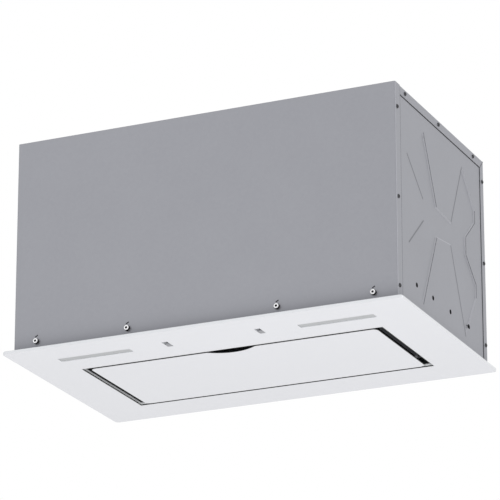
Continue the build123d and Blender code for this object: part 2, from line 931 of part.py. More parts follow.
def switch_body():
    body = plate(
        switch_body_width, switch_body_depth, switch_body_corner,
        switch_x, switch_y, panel_top, panel_top + switch_body_height,
    )
    # The part that closes the slot in the glass, set back behind the knob
    body += plate(
        switch_slot_width - 2 * switch_fit, switch_slot_depth - 2 * switch_fit,
        slot_corner_radius - switch_fit, switch_x, switch_y, switch_floor_z, panel_top,
    )
    # Slot for the knob's stem
    front, back = stem_limits()
    half = knob_stem_width / 2 + knob_gap
    body -= block(
        switch_x - half, switch_x + half, front - knob_travel - knob_gap, back + knob_gap,
        switch_floor_z - 1, knob_stem_top + knob_gap,
    )
    return body


def knob_limits():
    back = switch_y + switch_slot_depth / 2 - knob_gap
    return back - knob_depth, back


def stem_limits():
    front, back = knob_limits()
    middle = (front + back) / 2
    return middle - knob_stem_depth / 2, middle + knob_stem_depth / 2


def switch_knob():
    front, back = knob_limits()
    half = switch_slot_width / 2 - knob_gap
    knob = block(switch_x - half, switch_x + half, front, back, 0, switch_floor_z - knob_lift)
    knob = fillet(knob.edges().filter_by(Axis.Z), knob_corner)
    # Three grip grooves across the face
    for groove in (-1, 0, 1):
        y = (front + back) / 2 + groove * knob_groove_pitch
        knob -= block(
            switch_x - half - 1, switch_x + half + 1,
            y - knob_groove / 2, y + knob_groove / 2, -1, knob_groove,
        )
    stem_front, stem_back = stem_limits()
    knob += block(
        switch_x - knob_stem_width / 2, switch_x + knob_stem_width / 2, stem_front, stem_back,
        switch_floor_z - knob_lift - 0.5, knob_stem_top,
    )
    return knob


# Blower


def scroll_radius(angle):
    share = (angle - tongue_angle) / (360 - tongue_angle)
    return scroll_start_radius + share * (scroll_end_radius - scroll_start_radius)


def scroll_point(angle, grow):
    radius = scroll_radius(angle) + grow
    turn = math.radians(angle)
    return (blower_y + radius * math.cos(turn), blower_z + radius * math.sin(turn))


def scroll_face(grow):
    # The scroll seen along X: a spiral that widens to the outlet duct on the back side
    steps = 10
    angles = [tongue_angle + (360 - tongue_angle) * step / steps for step in range(steps + 1)]
    spiral = Spline(*[scroll_point(angle, grow) for angle in angles])
    centre = (blower_y, blower_z)
    case = make_face([spiral, Line(spiral @ 1, centre), Line(centre, spiral @ 0)])
    tongue = scroll_point(tongue_angle, 0)
    duct = Polygon(
        centre,
        (outlet_back + grow, blower_z),
        (outlet_back + grow, outlet_top),
        (outlet_front - grow, outlet_top),
        (tongue[0] - grow, tongue[1]),
        align=None,
    )
    return case + duct


def shell_screw_places():
    # (y, z) of the screws round the shells' split flange
    return [scroll_point(angle, scroll_wall + scroll_flange / 2) for angle in shell_screw_angles]


def blower_shell():
    # Right-hand half of the scroll casing, split at X = 0
    outer = scroll_half_width + scroll_wall
    lip = outer + inlet_lip_height
    rim = scroll_wall + outlet_rim
    shell = extrude(Plane.YZ * scroll_face(scroll_wall), outer)
    # Flange along the split, which stops below the outlet
    flange = extrude(Plane.YZ * scroll_face(scroll_wall + scroll_flange), scroll_flange_thickness)
    flange &= block(0, outer, body_front, body_back, 0, outlet_top - scroll_flange_stop)
    shell += flange
    # Rim round the outlet, which the adapter is screwed to
    shell += block(
        0, outer + outlet_rim, outlet_front - rim, outlet_back + rim,
        outlet_top - scroll_flange_thickness, outlet_top,
    )
    shell += rod_x(inlet_radius + inlet_lip, outer - 1, lip, blower_y, blower_z)
    shell -= extrude(Plane.YZ * scroll_face(0), scroll_half_width)
    shell -= block(0, scroll_half_width, outlet_front, outlet_back, outlet_top - 10, outlet_top + 1)
    shell -= rod_x(inlet_radius, scroll_half_width - 1, lip + 1, blower_y, blower_z)
    shell = fillet(shell.edges().filter_by(GeomType.CIRCLE).group_by(Axis.X)[-1], inlet_lip * 0.45)
    for y, z in shell_screw_places():
        shell -= rod_x(shell_screw_radius, -1, scroll_flange_thickness + 1, y, z)
    return shell


def bracket_places():
    # (y, z) of the bracket arms' ends on the left inlet
    radius = inlet_radius + inlet_lip + bush_pad_radius + 2
    places = []
    for index in range(bracket_arm_count):
        turn = math.radians(90 + 360 / bracket_arm_count * index)
        places.append((blower_y + radius * math.cos(turn), blower_z + radius * math.sin(turn)))
    return places


def bracket_screw_holes():
    face = -(scroll_half_width + scroll_wall)
    start = face - 1
    end = face + scroll_wall + 1
    return Part() + [rod_x(bracket_screw_radius + 0.05, start, end, y, z) for y, z in bracket_places()]


def shell_screws():
    screws = []
    seat = scroll_flange_thickness
    for y, z in shell_screw_places():
        head = rod_x(shell_screw_radius * 1.9, seat, seat + shell_screw_head, y, z)
        screws.append(head + rod_x(shell_screw_radius - 0.05, -seat - 2, seat, y, z))
    return Part() + screws


def impeller_blades():
    # Forward-curved steel strips, each a thin arc that runs the full width of the drum
    turn = math.radians(blade_sweep)
    inner = (blade_inner_radius + blade_margin, 0)
    outer_radius = impeller_radius - 2 * blade_margin
    outer = (outer_radius * math.cos(turn), outer_radius * math.sin(turn))
    bulge = ((inner[0] + outer[0]) / 2 + blade_bulge, (inner[1] + outer[1]) / 2 - 1.4 * blade_bulge)
    lean = (-0.5 * blade_thickness, 0.85 * blade_thickness)
    front = ThreePointArc(inner, bulge, outer)
    back = ThreePointArc(
        (outer[0] + lean[0], outer[1] + lean[1]), (bulge[0] + lean[0], bulge[1] + lean[1]),
        (inner[0], inner[1] + blade_thickness),
    )
    blade_face = make_face([front, Line(front @ 1, back @ 0), back, Line(back @ 1, front @ 0)])
    place = Plane.YZ.offset(-impeller_half_width) * Pos(blower_y, blower_z)
    blades = []
    for index in range(blade_count):
        spin = Rot(0, 0, 360 / blade_count * index)
        blades.append(extrude(place * spin * blade_face, 2 * impeller_half_width))
    return Part() + blades


def impeller_rings():
    # One ring at each end of the drum, which holds the blades' ends
    rings = []
    for x0 in (-impeller_half_width, impeller_half_width - impeller_ring):
        x1 = x0 + impeller_ring
        band = rod_x(impeller_radius, x0, x1, blower_y, blower_z)
        rings.append(band - rod_x(blade_inner_radius, x0 - 1, x1 + 1, blower_y, blower_z))
    return Part() + rings


def impeller_disc():
    # Centre disc of the double-inlet drum, with the hub that grips the shaft
    disc_x0 = impeller_disc_x - impeller_disc_thickness / 2
    hub_end = hub_start + hub_length
    disc = rod_x(impeller_radius, disc_x0, disc_x0 + impeller_disc_thickness, blower_y, blower_z)
    disc += rod_x(hub_radius, hub_start, hub_end, blower_y, blower_z)
    return disc - rod_x(shaft_radius + shaft_clearance, hub_start - 1, hub_end + 1, blower_y, blower_z)


def motor_shaft():
    start = motor_end_x - shaft_in_motor
    end = hub_start + hub_length + shaft_past_hub
    shaft = rod_x(shaft_radius, start, end, blower_y, blower_z)
    return chamfer(shaft.edges().filter_by(GeomType.CIRCLE), 0.6)


def motor_body():
    x1 = motor_end_x
    x0 = x1 - motor_length
    can = rod_x(motor_radius, x0, x1, blower_y, blower_z)
    can = chamfer(can.edges().filter_by(GeomType.CIRCLE), 3)
    can += rod_x(motor_cap_radius, x0 - motor_cap_length, x0 + 1, blower_y, blower_z)
    # Cooling slots round the open end
    for index in range(motor_slot_count):
        spin = Pos(0, blower_y, blower_z) * Rot(360 / motor_slot_count * index, 0, 0)
        can -= spin * Pos(x0 + motor_slot_x, 0, motor_radius) * Box(*motor_slot)
    bore_end = x1 - shaft_in_motor - 2
    return can - rod_x(shaft_radius + shaft_clearance, bore_end, x1 + 1, blower_y, blower_z)


def motor_bracket():
    # Clamp ring round the motor with three arms out to the left inlet
    outer = -(scroll_half_width + scroll_wall + bush_pad_height)
    arm_x0 = outer - bracket_arm_thickness
    ring_end = motor_end_x - motor_length + bracket_grip
    bracket = rod_x(motor_radius + bracket_ring, arm_x0, ring_end, blower_y, blower_z)
    arm_half = bracket_arm_width / 2
    for y, z in bracket_places():
        length = math.hypot(y - blower_y, z - blower_z)
        angle = math.degrees(math.atan2(z - blower_z, y - blower_y))
        arm = block(arm_x0, outer, motor_radius, length, -arm_half, arm_half)
        bracket += Pos(0, blower_y, blower_z) * Rot(angle, 0, 0) * arm
        bracket += rod_x(bush_pad_radius, arm_x0, outer, y, z)
    bracket -= rod_x(motor_radius + 0.1, arm_x0 - 1, ring_end + 1, blower_y, blower_z)
    for y, z in bracket_places():
        bracket -= rod_x(bracket_screw_radius + 0.1, arm_x0 - 1, outer + 1, y, z)
    return bracket


def motor_bushes():
    # Rubber pads between the bracket's arms and the casing
    face = -(scroll_half_width + scroll_wall)
    pads = []
    for y, z in bracket_places():
        pad = rod_x(bush_pad_radius, face - bush_pad_height, face, y, z)
        pad = chamfer(pad.edges().filter_by(GeomType.CIRCLE), bush_pad_height * 0.2)
        pads.append(pad - rod_x(bracket_screw_radius + 0.1, face - bush_pad_height - 1, face + 1, y, z))
    return Part() + pads


def bracket_screws():
    face = -(scroll_half_width + scroll_wall)
    seat = face - bush_pad_height - bracket_arm_thickness
    screws = []
    for y, z in bracket_places():
        screw = rod_x(bracket_screw_radius, seat, face + scroll_wall - 0.5, y, z)
        screws.append(screw + rod_x(bracket_screw_radius * 2, seat - bracket_screw_head, seat, y, z))
    return Part() + screws


def outlet_adapter():
    # Rectangular at the scroll, round at the duct collar
    width = 2 * scroll_half_width

    def passage(grow):
        base = RectangleRounded(width + 2 * grow, outlet_depth + 2 * grow, adapter_corner + grow)
        mouth = Circle(collar_radius - collar_wall + grow)
        return loft(Sketch() + [Pos(0, outlet_y, outlet_top) * base, Pos(0, outlet_y, roof) * mouth])

    rim = 2 * (scroll_wall + outlet_rim)
    adapter = passage(adapter_wall)
    adapter += plate(
        width + rim, outlet_depth + rim, adapter_corner, 0, outlet_y, outlet_top, outlet_top + adapter_flange
    )
    flange_low = roof - adapter_flange
    adapter += rod_z(collar_screw_circle + adapter_margin, flange_low, roof, 0, outlet_y)
    adapter -= passage(0)
    for x, y in collar_screw_places():
        adapter -= rod_z(collar_screw_radius, flange_low - 1, roof + 1, x, y)
    return adapter


# Duct collar and back-draught flaps


def collar_screw_places():
    # (x, y) of the screws through the collar's flange
    places = []
    for index in range(collar_screw_count):
        turn = math.radians(45 + 360 / collar_screw_count * index)
        x = collar_screw_circle * math.cos(turn)
        places.append((x, outlet_y + collar_screw_circle * math.sin(turn)))
    return places


def damper_bore():
    radius = damper_pin_radius + damper_clearance
    reach = collar_radius + 5
    return rod_y(radius, outlet_y - reach, outlet_y + reach, 0, damper_z)


def duct_collar():
    # Flange, spigot with a hemmed edge, and the inner lip that stops the flaps
    outer = collar_radius
    inner = collar_radius - collar_wall
    stop_top = damper_z - damper_thickness / 2 - damper_stop_gap
    seat = body_top + collar_flange_thickness
    hem_low = collar_top - collar_hem_height
    spigot = rod_z(outer, body_top, collar_top, 0, outlet_y)
    spigot += rod_z(outer + collar_flange, body_top, seat, 0, outlet_y)
    spigot += Pos(0, outlet_y, seat + collar_foot / 2) * Cone(outer + collar_foot, outer, collar_foot)
    spigot -= rod_z(inner, stop_top, hem_low, 0, outlet_y)
    spigot -= rod_z(inner - collar_hem, hem_low - 1, collar_top + 1, 0, outlet_y)
    spigot -= rod_z(inner - damper_stop_lip, body_top - 1, stop_top + 1, 0, outlet_y)
    spigot -= rod_z(inner, body_top - 1, stop_top - damper_stop_thickness, 0, outlet_y)
    for x, y in collar_screw_places():
        spigot -= rod_z(collar_screw_radius, body_top - 1, seat + 1, x, y)
    return spigot - damper_bore()


def collar_screws():
    screws = []
    seat = body_top + collar_flange_thickness
    for x, y in collar_screw_places():
        head = rod_z(collar_screw_radius * 2, seat, seat + collar_screw_head, x, y)
        head = chamfer(head.edges().filter_by(GeomType.CIRCLE).sort_by(Axis.Z)[-1], collar_screw_head * 0.5)
        screws.append(head + rod_z(collar_screw_radius - 0.05, roof - adapter_flange - 2, seat, x, y))
    return Part() + screws


def damper_pin():
    return rod_y(damper_pin_radius, outlet_y - collar_radius, outlet_y + collar_radius, 0, damper_z)


def damper_flap(side):
    # Half disc with knuckles on the pin, set between those of the other half
    radius = collar_radius - collar_wall - damper_edge_gap
    clear = damper_knuckle_radius + 0.5
    far = radius + 5
    beyond = Pos(side * (clear - far), outlet_y) * Rectangle(2 * far, 3 * far)
    low = damper_z - damper_thickness / 2
    flap = extrude(Pos(0, 0, low) * (Pos(0, outlet_y) * Circle(radius) - beyond), damper_thickness)
    step = damper_knuckle_length + damper_knuckle_gap
    web = sorted((0.0, side * (clear + 1)))
    first = 0 if side < 0 else 1
    for index in range(first, damper_knuckle_count, 2):
        y0 = outlet_y + (index - damper_knuckle_count / 2) * step
        y1 = y0 + damper_knuckle_length
        flap += block(web[0], web[1], y0, y1, low, low + damper_thickness)
        flap += rod_y(damper_knuckle_radius, y0, y1, 0, damper_z)
    return flap - damper_bore()


# Electrics


def control_box():
    x0 = control_box_x - control_box_width / 2
    x1 = control_box_x + control_box_width / 2
    y0 = control_box_y - control_box_depth / 2
    y1 = control_box_y + control_box_depth / 2
    low = roof - control_box_height
    box = block(x0, x1, y0, y1, low, roof)
    box = fillet(box.edges().filter_by(Axis.Z), control_box_corner)
    wall = control_box_wall
    box -= block(x0 + wall, x1 - wall, y0 + wall, y1 - wall, low - 1, roof - wall)
    # Wire holes in the wall on the blower's side
    spacing = control_box_depth / (wire_hole_count + 1)
    for index in range(wire_hole_count):
        y = y0 + (index + 1) * spacing
        box -= rod_x(wire_hole_radius, x0 - 1, x0 + wall + 1, y, low + wire_hole_rise)
    return box


def control_lid_plate():
    low = roof - control_box_height
    return plate(
        control_box_width, control_box_depth, control_box_corner,
        control_box_x, control_box_y, low - control_lid, low,
    )


def control_board():
    # Circuit board with its transformer and relays, inside the closed box
    low = roof - control_box_height + board_rise
    face = low + board_thickness
    width = control_box_width - 2 * control_box_wall - 2
    depth = control_box_depth - 2 * control_box_wall - 2
    board = plate(width, depth, control_box_corner, control_box_x, control_box_y, low, face)
    # Transformer at the outer end, relays in a row towards the blower
    board += plate(
        transformer_side, transformer_side, 1, control_box_x + width * 0.28, control_box_y,
        face, face + transformer_height,
    )
    for index in range(relay_count):
        x = control_box_x - width * 0.35 + index * relay_pitch
        board += plate(relay_width, relay_depth, 1, x, control_box_y, face, face + relay_height)
    # Posts up to the box's roof
    for corner_x in (-1, 1):
        for corner_y in (-1, 1):
            x = control_box_x + corner_x * (width / 2 - post_inset)
            y = control_box_y + corner_y * (depth / 2 - post_inset)
            board += rod_z(post_radius, low, roof - control_box_wall, x, y)
    return board


def run_capacitor():
    # Behind the control box, hung from the roof by its stud
    y = control_box_y + control_box_depth / 2 + capacitor_radius + capacitor_gap
    low = roof - capacitor_length
    shoulder = roof - capacitor_stud
    can = rod_z(capacitor_radius, low, shoulder, capacitor_x, y)
    can = chamfer(can.edges().filter_by(GeomType.CIRCLE), 2)
    return can + rod_z(capacitor_stud, shoulder - 1, roof, capacitor_x, y)


def cable_gland():
    # Body on the roof, locknut under it; the mains lead itself is not part of the set
    collar_end = body_top + gland_height
    dome_end = collar_end + gland_dome_height
    thread_end = roof - gland_nut_height - 4
    body = extrude(Pos(gland_x, gland_y, body_top) * hexagon(gland_across), gland_height)
    body += rod_z(gland_dome_radius, collar_end, dome_end, gland_x, gland_y)
    body = fillet(body.edges().filter_by(GeomType.CIRCLE).sort_by(Axis.Z)[-1], gland_dome_height * 0.4)
    body += rod_z(gland_thread_radius, thread_end, body_top, gland_x, gland_y)
    return body - rod_z(gland_bore_radius, thread_end - 1, dome_end + 1, gland_x, gland_y)


def gland_nut():
    low = roof - gland_nut_height
    nut = extrude(Pos(gland_x, gland_y, low) * hexagon(gland_across), gland_nut_height)
    return nut - rod_z(gland_thread_radius + 0.05, low - 1, roof + 1, gland_x, gland_y)


def left(shape):
    return mirror(shape, Plane.YZ)


side_panel_right = side_panel()
filter_frame_right = filter_frame()
filter_mesh_right = filter_mesh()
filter_latch_right = filter_latch()
lamp_diffuser_right = lamp_diffuser()
lamp_housing_right = lamp_housing()
led_board_right = led_board()
switch_body_right = switch_body()
switch_knob_right = switch_knob()
blower_shell_right = blower_shell()
blades = impeller_blades()

nodes = {
    "glass_panel": glass_panel(),
    "mounting_frame": mounting_frame(),
    "suction_throat": suction_throat(),
    "front_wall": front_wall(),
    "back_wall": back_wall(),
    "top_wall": top_wall(),
    "side_panel_right": side_panel_right,
    "side_panel_left": left(side_panel_right),
    "flange_screws": flange_screws(),
    "front_screws": front_screws(),
    "front_nuts": front_nuts(),
    "hinge_bushes": hinge_bushes(),
    "magnet_catches": magnet_catches(),
    "flap_glass": flap_glass(),
    "flap_pan": flap_pan(),
    "flap_hinge_pins": flap_hinge_pins(),
    "flap_strikers": flap_strikers(),
    "filter_frame_right": filter_frame_right,
    "filter_frame_left": left(filter_frame_right),
    "filter_mesh_right": filter_mesh_right,
    "filter_mesh_left": left(filter_mesh_right),
    "latch_guides": both_sides(latch_guide()),
    "filter_latch_right": filter_latch_right,
    "filter_latch_left": left(filter_latch_right),
    "lamp_diffuser_right": lamp_diffuser_right,
    "lamp_diffuser_left": left(lamp_diffuser_right),
    "lamp_housing_right": lamp_housing_right,
    "lamp_housing_left": left(lamp_housing_right),
    "led_board_right": led_board_right,
    "led_board_left": left(led_board_right),
    "speed_switch_body": switch_body_right,
    "lamp_switch_body": left(switch_body_right),
    "speed_switch_knob": switch_knob_right,
    "lamp_switch_knob": left(switch_knob_right),
    "blower_shell_right": blower_shell_right,
    "blower_shell_left": left(blower_shell_right) - bracket_screw_holes(),
    "shell_screws": shell_screws(),
    "impeller_disc": impeller_disc() - blades,
    "impeller_blades": blades,
    "impeller_rings": impeller_rings() - blades,
    "motor_shaft": motor_shaft(),
    "motor_body": motor_body(),
    "motor_bracket": motor_bracket(),
    "motor_bushes": motor_bushes(),
    "bracket_screws": bracket_screws(),
    "outlet_adapter": outlet_adapter(),
    "duct_collar": duct_collar(),
    "collar_screws": collar_screws(),
    "damper_pin": damper_pin(),
    "damper_flap_left": damper_flap(-1),
    "damper_flap_right": damper_flap(1),
    "control_box": control_box(),
    "control_lid": control_lid_plate(),
    "control_board": control_board(),
    "run_capacitor": run_capacitor(),
    "cable_gland": cable_gland(),
    "gland_nut": gland_nut(),
}

for name, shape in nodes.items():
    export_step(shape, f"parts/{name}.step")
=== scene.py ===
import bpy
import bmesh
import json
import math
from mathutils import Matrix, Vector


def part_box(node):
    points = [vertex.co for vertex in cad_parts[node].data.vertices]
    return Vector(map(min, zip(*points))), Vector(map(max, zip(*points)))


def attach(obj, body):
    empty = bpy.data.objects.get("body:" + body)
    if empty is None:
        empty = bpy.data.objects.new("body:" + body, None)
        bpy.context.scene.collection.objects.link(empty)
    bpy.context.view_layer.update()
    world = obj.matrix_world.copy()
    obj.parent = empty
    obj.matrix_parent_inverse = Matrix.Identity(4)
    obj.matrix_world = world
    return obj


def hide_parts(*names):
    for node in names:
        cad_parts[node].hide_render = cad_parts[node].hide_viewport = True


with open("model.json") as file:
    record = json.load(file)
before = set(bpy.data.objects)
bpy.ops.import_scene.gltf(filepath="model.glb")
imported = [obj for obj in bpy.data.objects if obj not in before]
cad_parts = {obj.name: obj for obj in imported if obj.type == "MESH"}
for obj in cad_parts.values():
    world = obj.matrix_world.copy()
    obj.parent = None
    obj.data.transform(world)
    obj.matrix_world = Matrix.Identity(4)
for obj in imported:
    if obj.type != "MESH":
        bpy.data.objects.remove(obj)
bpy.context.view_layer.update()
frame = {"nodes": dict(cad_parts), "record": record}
print("frame loaded:", len(frame["nodes"]), "nodes")


# camera, fitted to the corners of the glass and the steel body
camera = {
    "place": (2.2494, -4.9651, -1.7522),
    "yaw": 0.4258,
    "pitch": 0.3434,
    "lens": 252.0,
    "sensor": 36.0,
    "near": 0.1,
    "far": 60.0,
}


def makeCamera(look):
    data = bpy.data.cameras.new("camera")
    data.lens = look["lens"]
    data.sensor_width = look["sensor"]
    data.sensor_fit = "HORIZONTAL"
    data.clip_start = look["near"]
    data.clip_end = look["far"]
    eye = bpy.data.objects.new("camera", data)
    bpy.context.scene.collection.objects.link(eye)
    eye.location = look["place"]
    turn, lift = look["yaw"], look["pitch"]
    forward = Vector((-math.sin(turn) * math.cos(lift), math.cos(turn) * math.cos(lift), math.sin(lift)))
    eye.rotation_mode = "QUATERNION"
    eye.rotation_quaternion = forward.to_track_quat("-Z", "Y")
    bpy.context.scene.camera = eye
    return eye


makeCamera(camera)
bpy.context.scene.view_settings.view_transform = "Standard"
print("camera placed")


# small helpers for node trees
def addNode(tree, kind, **settings):
    made = tree.nodes.new(kind)
    for key, value in settings.items():
        setattr(made, key, value)
    return made


def setInputs(node, **values):
    for key, value in values.items():
        node.inputs[key].default_value = value
    return node


def mathNode(tree, kind, *values, clamp=False):
    # a Math node fed by numbers or by other sockets, and its result
    made = addNode(tree, "ShaderNodeMath", operation=kind, use_clamp=clamp)
    for socket, value in zip(made.inputs, values):
        if isinstance(value, (int, float)):
            socket.default_value = value
        else:
            tree.links.new(value, socket)
    return made.outputs["Value"]


def layTone(tree, surface, tone, mask):
    # the tone laid over the surface colour where the mask is 1
    laid = addNode(tree, "ShaderNodeMix", data_type="RGBA")
    laid.inputs["B"].default_value = tone
    tree.links.new(mask, laid.inputs["Factor"])
    tree.links.new(surface, laid.inputs["A"])
    return laid.outputs["Result"]


def placeEffect(tree, effect, values):
    placed = addNode(tree, "ShaderNodeGroup", node_tree=effects[effect])
    for key, value in values.items():
        placed.inputs[key].default_value = value
    return placed


def newGroup(name, inputs, outputs):
    group = bpy.data.node_groups.new(name, "ShaderNodeTree")
    for label, value in inputs:
        socket = group.interface.new_socket(name=label, in_out="INPUT", socket_type="NodeSocketFloat")
        socket.default_value = value
    for label in outputs:
        group.interface.new_socket(name=label, in_out="OUTPUT", socket_type="NodeSocketFloat")
    entry = group.nodes.new("NodeGroupInput")
    leave = group.nodes.new("NodeGroupOutput")
    return group, entry, leave


def scaledPlace(group, entry):
    # object coordinates times the Scale input
    coords = addNode(group, "ShaderNodeTexCoord")
    scaled = addNode(group, "ShaderNodeVectorMath", operation="SCALE")
    group.links.new(coords.outputs["Object"], scaled.inputs[0])
    group.links.new(entry.outputs["Scale"], scaled.inputs["Scale"])
    return scaled.outputs["Vector"]


def makeZincMottle():
    # soft cloudy patches of zinc with fine flecks
    group, entry, leave = newGroup("zincMottle", [("Scale", 40.0), ("Flecks", 0.3)], ["Mask", "Height"])
    place = scaledPlace(group, entry)
    cloud = setInputs(addNode(group, "ShaderNodeTexNoise"), Scale=0.35, Detail=3.0, Roughness=0.55)
    fleck = setInputs(addNode(group, "ShaderNodeTexVoronoi"), Scale=6.0)
    fine = setInputs(addNode(group, "ShaderNodeTexNoise"), Scale=22.0, Detail=2.0, Roughness=0.6)
    for node in (cloud, fleck, fine):
        group.links.new(place, node.inputs["Vector"])
    grey = addNode(group, "ShaderNodeRGBToBW")
    group.links.new(fleck.outputs["Color"], grey.inputs["Color"])
    blend = addNode(group, "ShaderNodeMix", data_type="FLOAT")
    group.links.new(entry.outputs["Flecks"], blend.inputs["Factor"])
    group.links.new(cloud.outputs["Fac"], blend.inputs["A"])
    group.links.new(grey.outputs["Val"], blend.inputs["B"])
    group.links.new(blend.outputs["Result"], leave.inputs["Mask"])
    group.links.new(fine.outputs["Fac"], leave.inputs["Height"])
    return group


def makeRolledGrain():
    # fine lines left by rolling or turning, drawn out along one axis by Stretch
    group, entry, leave = newGroup(
        "rolledGrain",
        [("Scale", 60.0), ("Stretch X", 0.03), ("Stretch Y", 1.0), ("Stretch Z", 1.0)],
        ["Mask", "Height"],
    )
    place = scaledPlace(group, entry)
    pull = addNode(group, "ShaderNodeCombineXYZ")
    for axis in "XYZ":
        group.links.new(entry.outputs["Stretch " + axis], pull.inputs[axis])
    drawn = addNode(group, "ShaderNodeVectorMath", operation="MULTIPLY")
    group.links.new(place, drawn.inputs[0])
    group.links.new(pull.outputs["Vector"], drawn.inputs[1])
    lines = setInputs(addNode(group, "ShaderNodeTexNoise"), Scale=8.0, Detail=4.0, Roughness=0.7)
    group.links.new(drawn.outputs["Vector"], lines.inputs["Vector"])
    group.links.new(lines.outputs["Fac"], leave.inputs["Mask"])
    group.links.new(lines.outputs["Fac"], leave.inputs["Height"])
    return group


def makeMouldGrain():
    # the fine spark-eroded texture of moulded plastic, with faint flow patches
    group, entry, leave = newGroup("mouldGrain", [("Scale", 300.0), ("Flow", 0.25)], ["Mask", "Height"])
    place = scaledPlace(group, entry)
    grain = setInputs(addNode(group, "ShaderNodeTexNoise"), Scale=3.0, Detail=2.0, Roughness=0.5)
    flow = setInputs(addNode(group, "ShaderNodeTexNoise"), Scale=0.05, Detail=1.0)
    group.links.new(place, grain.inputs["Vector"])
    group.links.new(place, flow.inputs["Vector"])
    blend = addNode(group, "ShaderNodeMix", data_type="FLOAT")
    group.links.new(entry.outputs["Flow"], blend.inputs["Factor"])
    group.links.new(grain.outputs["Fac"], blend.inputs["A"])
    group.links.new(flow.outputs["Fac"], blend.inputs["B"])
    group.links.new(blend.outputs["Result"], leave.inputs["Mask"])
    group.links.new(grain.outputs["Fac"], leave.inputs["Height"])
    return group


def makeEdgeMask():
    # 1 along rounded edges, 0 on flat faces. The edge tone laid with this mask is painted light: a painted
    # highlight where it is paler than the face, painted shade where it is darker
    group, entry, leave = newGroup("edgeMask", [("Radius", 0.0008), ("Gain", 6.0)], ["Mask"])
    soft = addNode(group, "ShaderNodeBevel", samples=4)
    plain = addNode(group, "ShaderNodeNewGeometry")
    group.links.new(entry.outputs["Radius"], soft.inputs["Radius"])
    dot = addNode(group, "ShaderNodeVectorMath", operation="DOT_PRODUCT")
    group.links.new(soft.outputs["Normal"], dot.inputs[0])
    group.links.new(plain.outputs["Normal"], dot.inputs[1])
    turned = mathNode(group, "SUBTRACT", 1.0, dot.outputs["Value"])
    worn = mathNode(group, "MULTIPLY", turned, entry.outputs["Gain"], clamp=True)
    group.links.new(worn, leave.inputs["Mask"])
    return group


def makeCutEdge():
    # the ground edge round the glass opening: dark near the face and paler above it, with a dark
    # band on the face along the edge. The dark tones are partly the glass's own dark cut edge and
    # partly painted shade of the gaps round the flap; the pale tone is a painted highlight on the
    # edge inside the gap. The band is the part of the face inside a box, or with Outside at 1 the
    # part outside it
    group, entry, leave = newGroup(
        "cutEdge",
        [
            ("Reach", 0.3), ("Front", -0.1), ("Back", 0.15), ("Dark Height", 0.0024),
            ("Band Reach", 0.2669), ("Band Front", -0.0859), ("Band Back", 0.1359), ("Outside", 0.0),
        ],
        ["Dark", "Pale", "Rim"],
    )
    coords = addNode(group, "ShaderNodeTexCoord")
    place = addNode(group, "ShaderNodeSeparateXYZ")
    facing = addNode(group, "ShaderNodeSeparateXYZ")
    group.links.new(coords.outputs["Object"], place.inputs[0])
    group.links.new(coords.outputs["Normal"], facing.inputs[0])
    across = mathNode(group, "ABSOLUTE", place.outputs["X"])

    def insideBox(reach, front, back):
        within = mathNode(group, "LESS_THAN", across, entry.outputs[reach])
        behind = mathNode(group, "GREATER_THAN", place.outputs["Y"], entry.outputs[front])
        before = mathNode(group, "LESS_THAN", place.outputs["Y"], entry.outputs[back])
        return mathNode(group, "MULTIPLY", within, mathNode(group, "MULTIPLY", behind, before))

    flatFrom = 0.9  # a face is a side while its normal's upright share is below this
    side = mathNode(group, "LESS_THAN", mathNode(group, "ABSOLUTE", facing.outputs["Z"]), flatFrom)
    cut = mathNode(group, "MULTIPLY", side, insideBox("Reach", "Front", "Back"))
    below = mathNode(group, "LESS_THAN", place.outputs["Z"], entry.outputs["Dark Height"])
    dark = mathNode(group, "MULTIPLY", cut, below)
    box = insideBox("Band Reach", "Band Front", "Band Back")
    band = mathNode(group, "ABSOLUTE", mathNode(group, "SUBTRACT", box, entry.outputs["Outside"]))
    lowBand = mathNode(group, "MULTIPLY", band, below)
    group.links.new(mathNode(group, "MAXIMUM", dark, lowBand), leave.inputs["Dark"])
    group.links.new(mathNode(group, "SUBTRACT", cut, dark), leave.inputs["Pale"])
    group.links.new(mathNode(group, "SUBTRACT", side, cut), leave.inputs["Rim"])
    return group


def makeFootShade():
    # painted shade: the sheet steel darkens softly towards its foot, where it stands on the glass
    group, entry, leave = newGroup("footShade", [("Foot", 0.005), ("Reach", 0.011)], ["Mask"])
    coords = addNode(group, "ShaderNodeTexCoord")
    place = addNode(group, "ShaderNodeSeparateXYZ")
    group.links.new(coords.outputs["Object"], place.inputs[0])
    above = mathNode(group, "SUBTRACT", place.outputs["Z"], entry.outputs["Foot"])
    share = mathNode(group, "DIVIDE", above, entry.outputs["Reach"])
    fadePerReach = 0.3679  # what is left of the shade one Reach further up
    group.links.new(mathNode(group, "POWER", fadePerReach, share, clamp=True), leave.inputs["Mask"])
    return group


effects = {
    "mottle": makeZincMottle(),
    "grain": makeRolledGrain(),
    "mould": makeMouldGrain(),
    "edge": makeEdgeMask(),
    "cut": makeCutEdge(),
    "foot": makeFootShade(),
}
print("shared effects:", ", ".join(effects))


def srgb(red, green, blue):
    # a screen colour, 0 to 255, as the linear colour that the shader takes
    gamma = 2.2
    return tuple(pow(value / 255.0, gamma) for value in (red, green, blue)) + (1.0,)
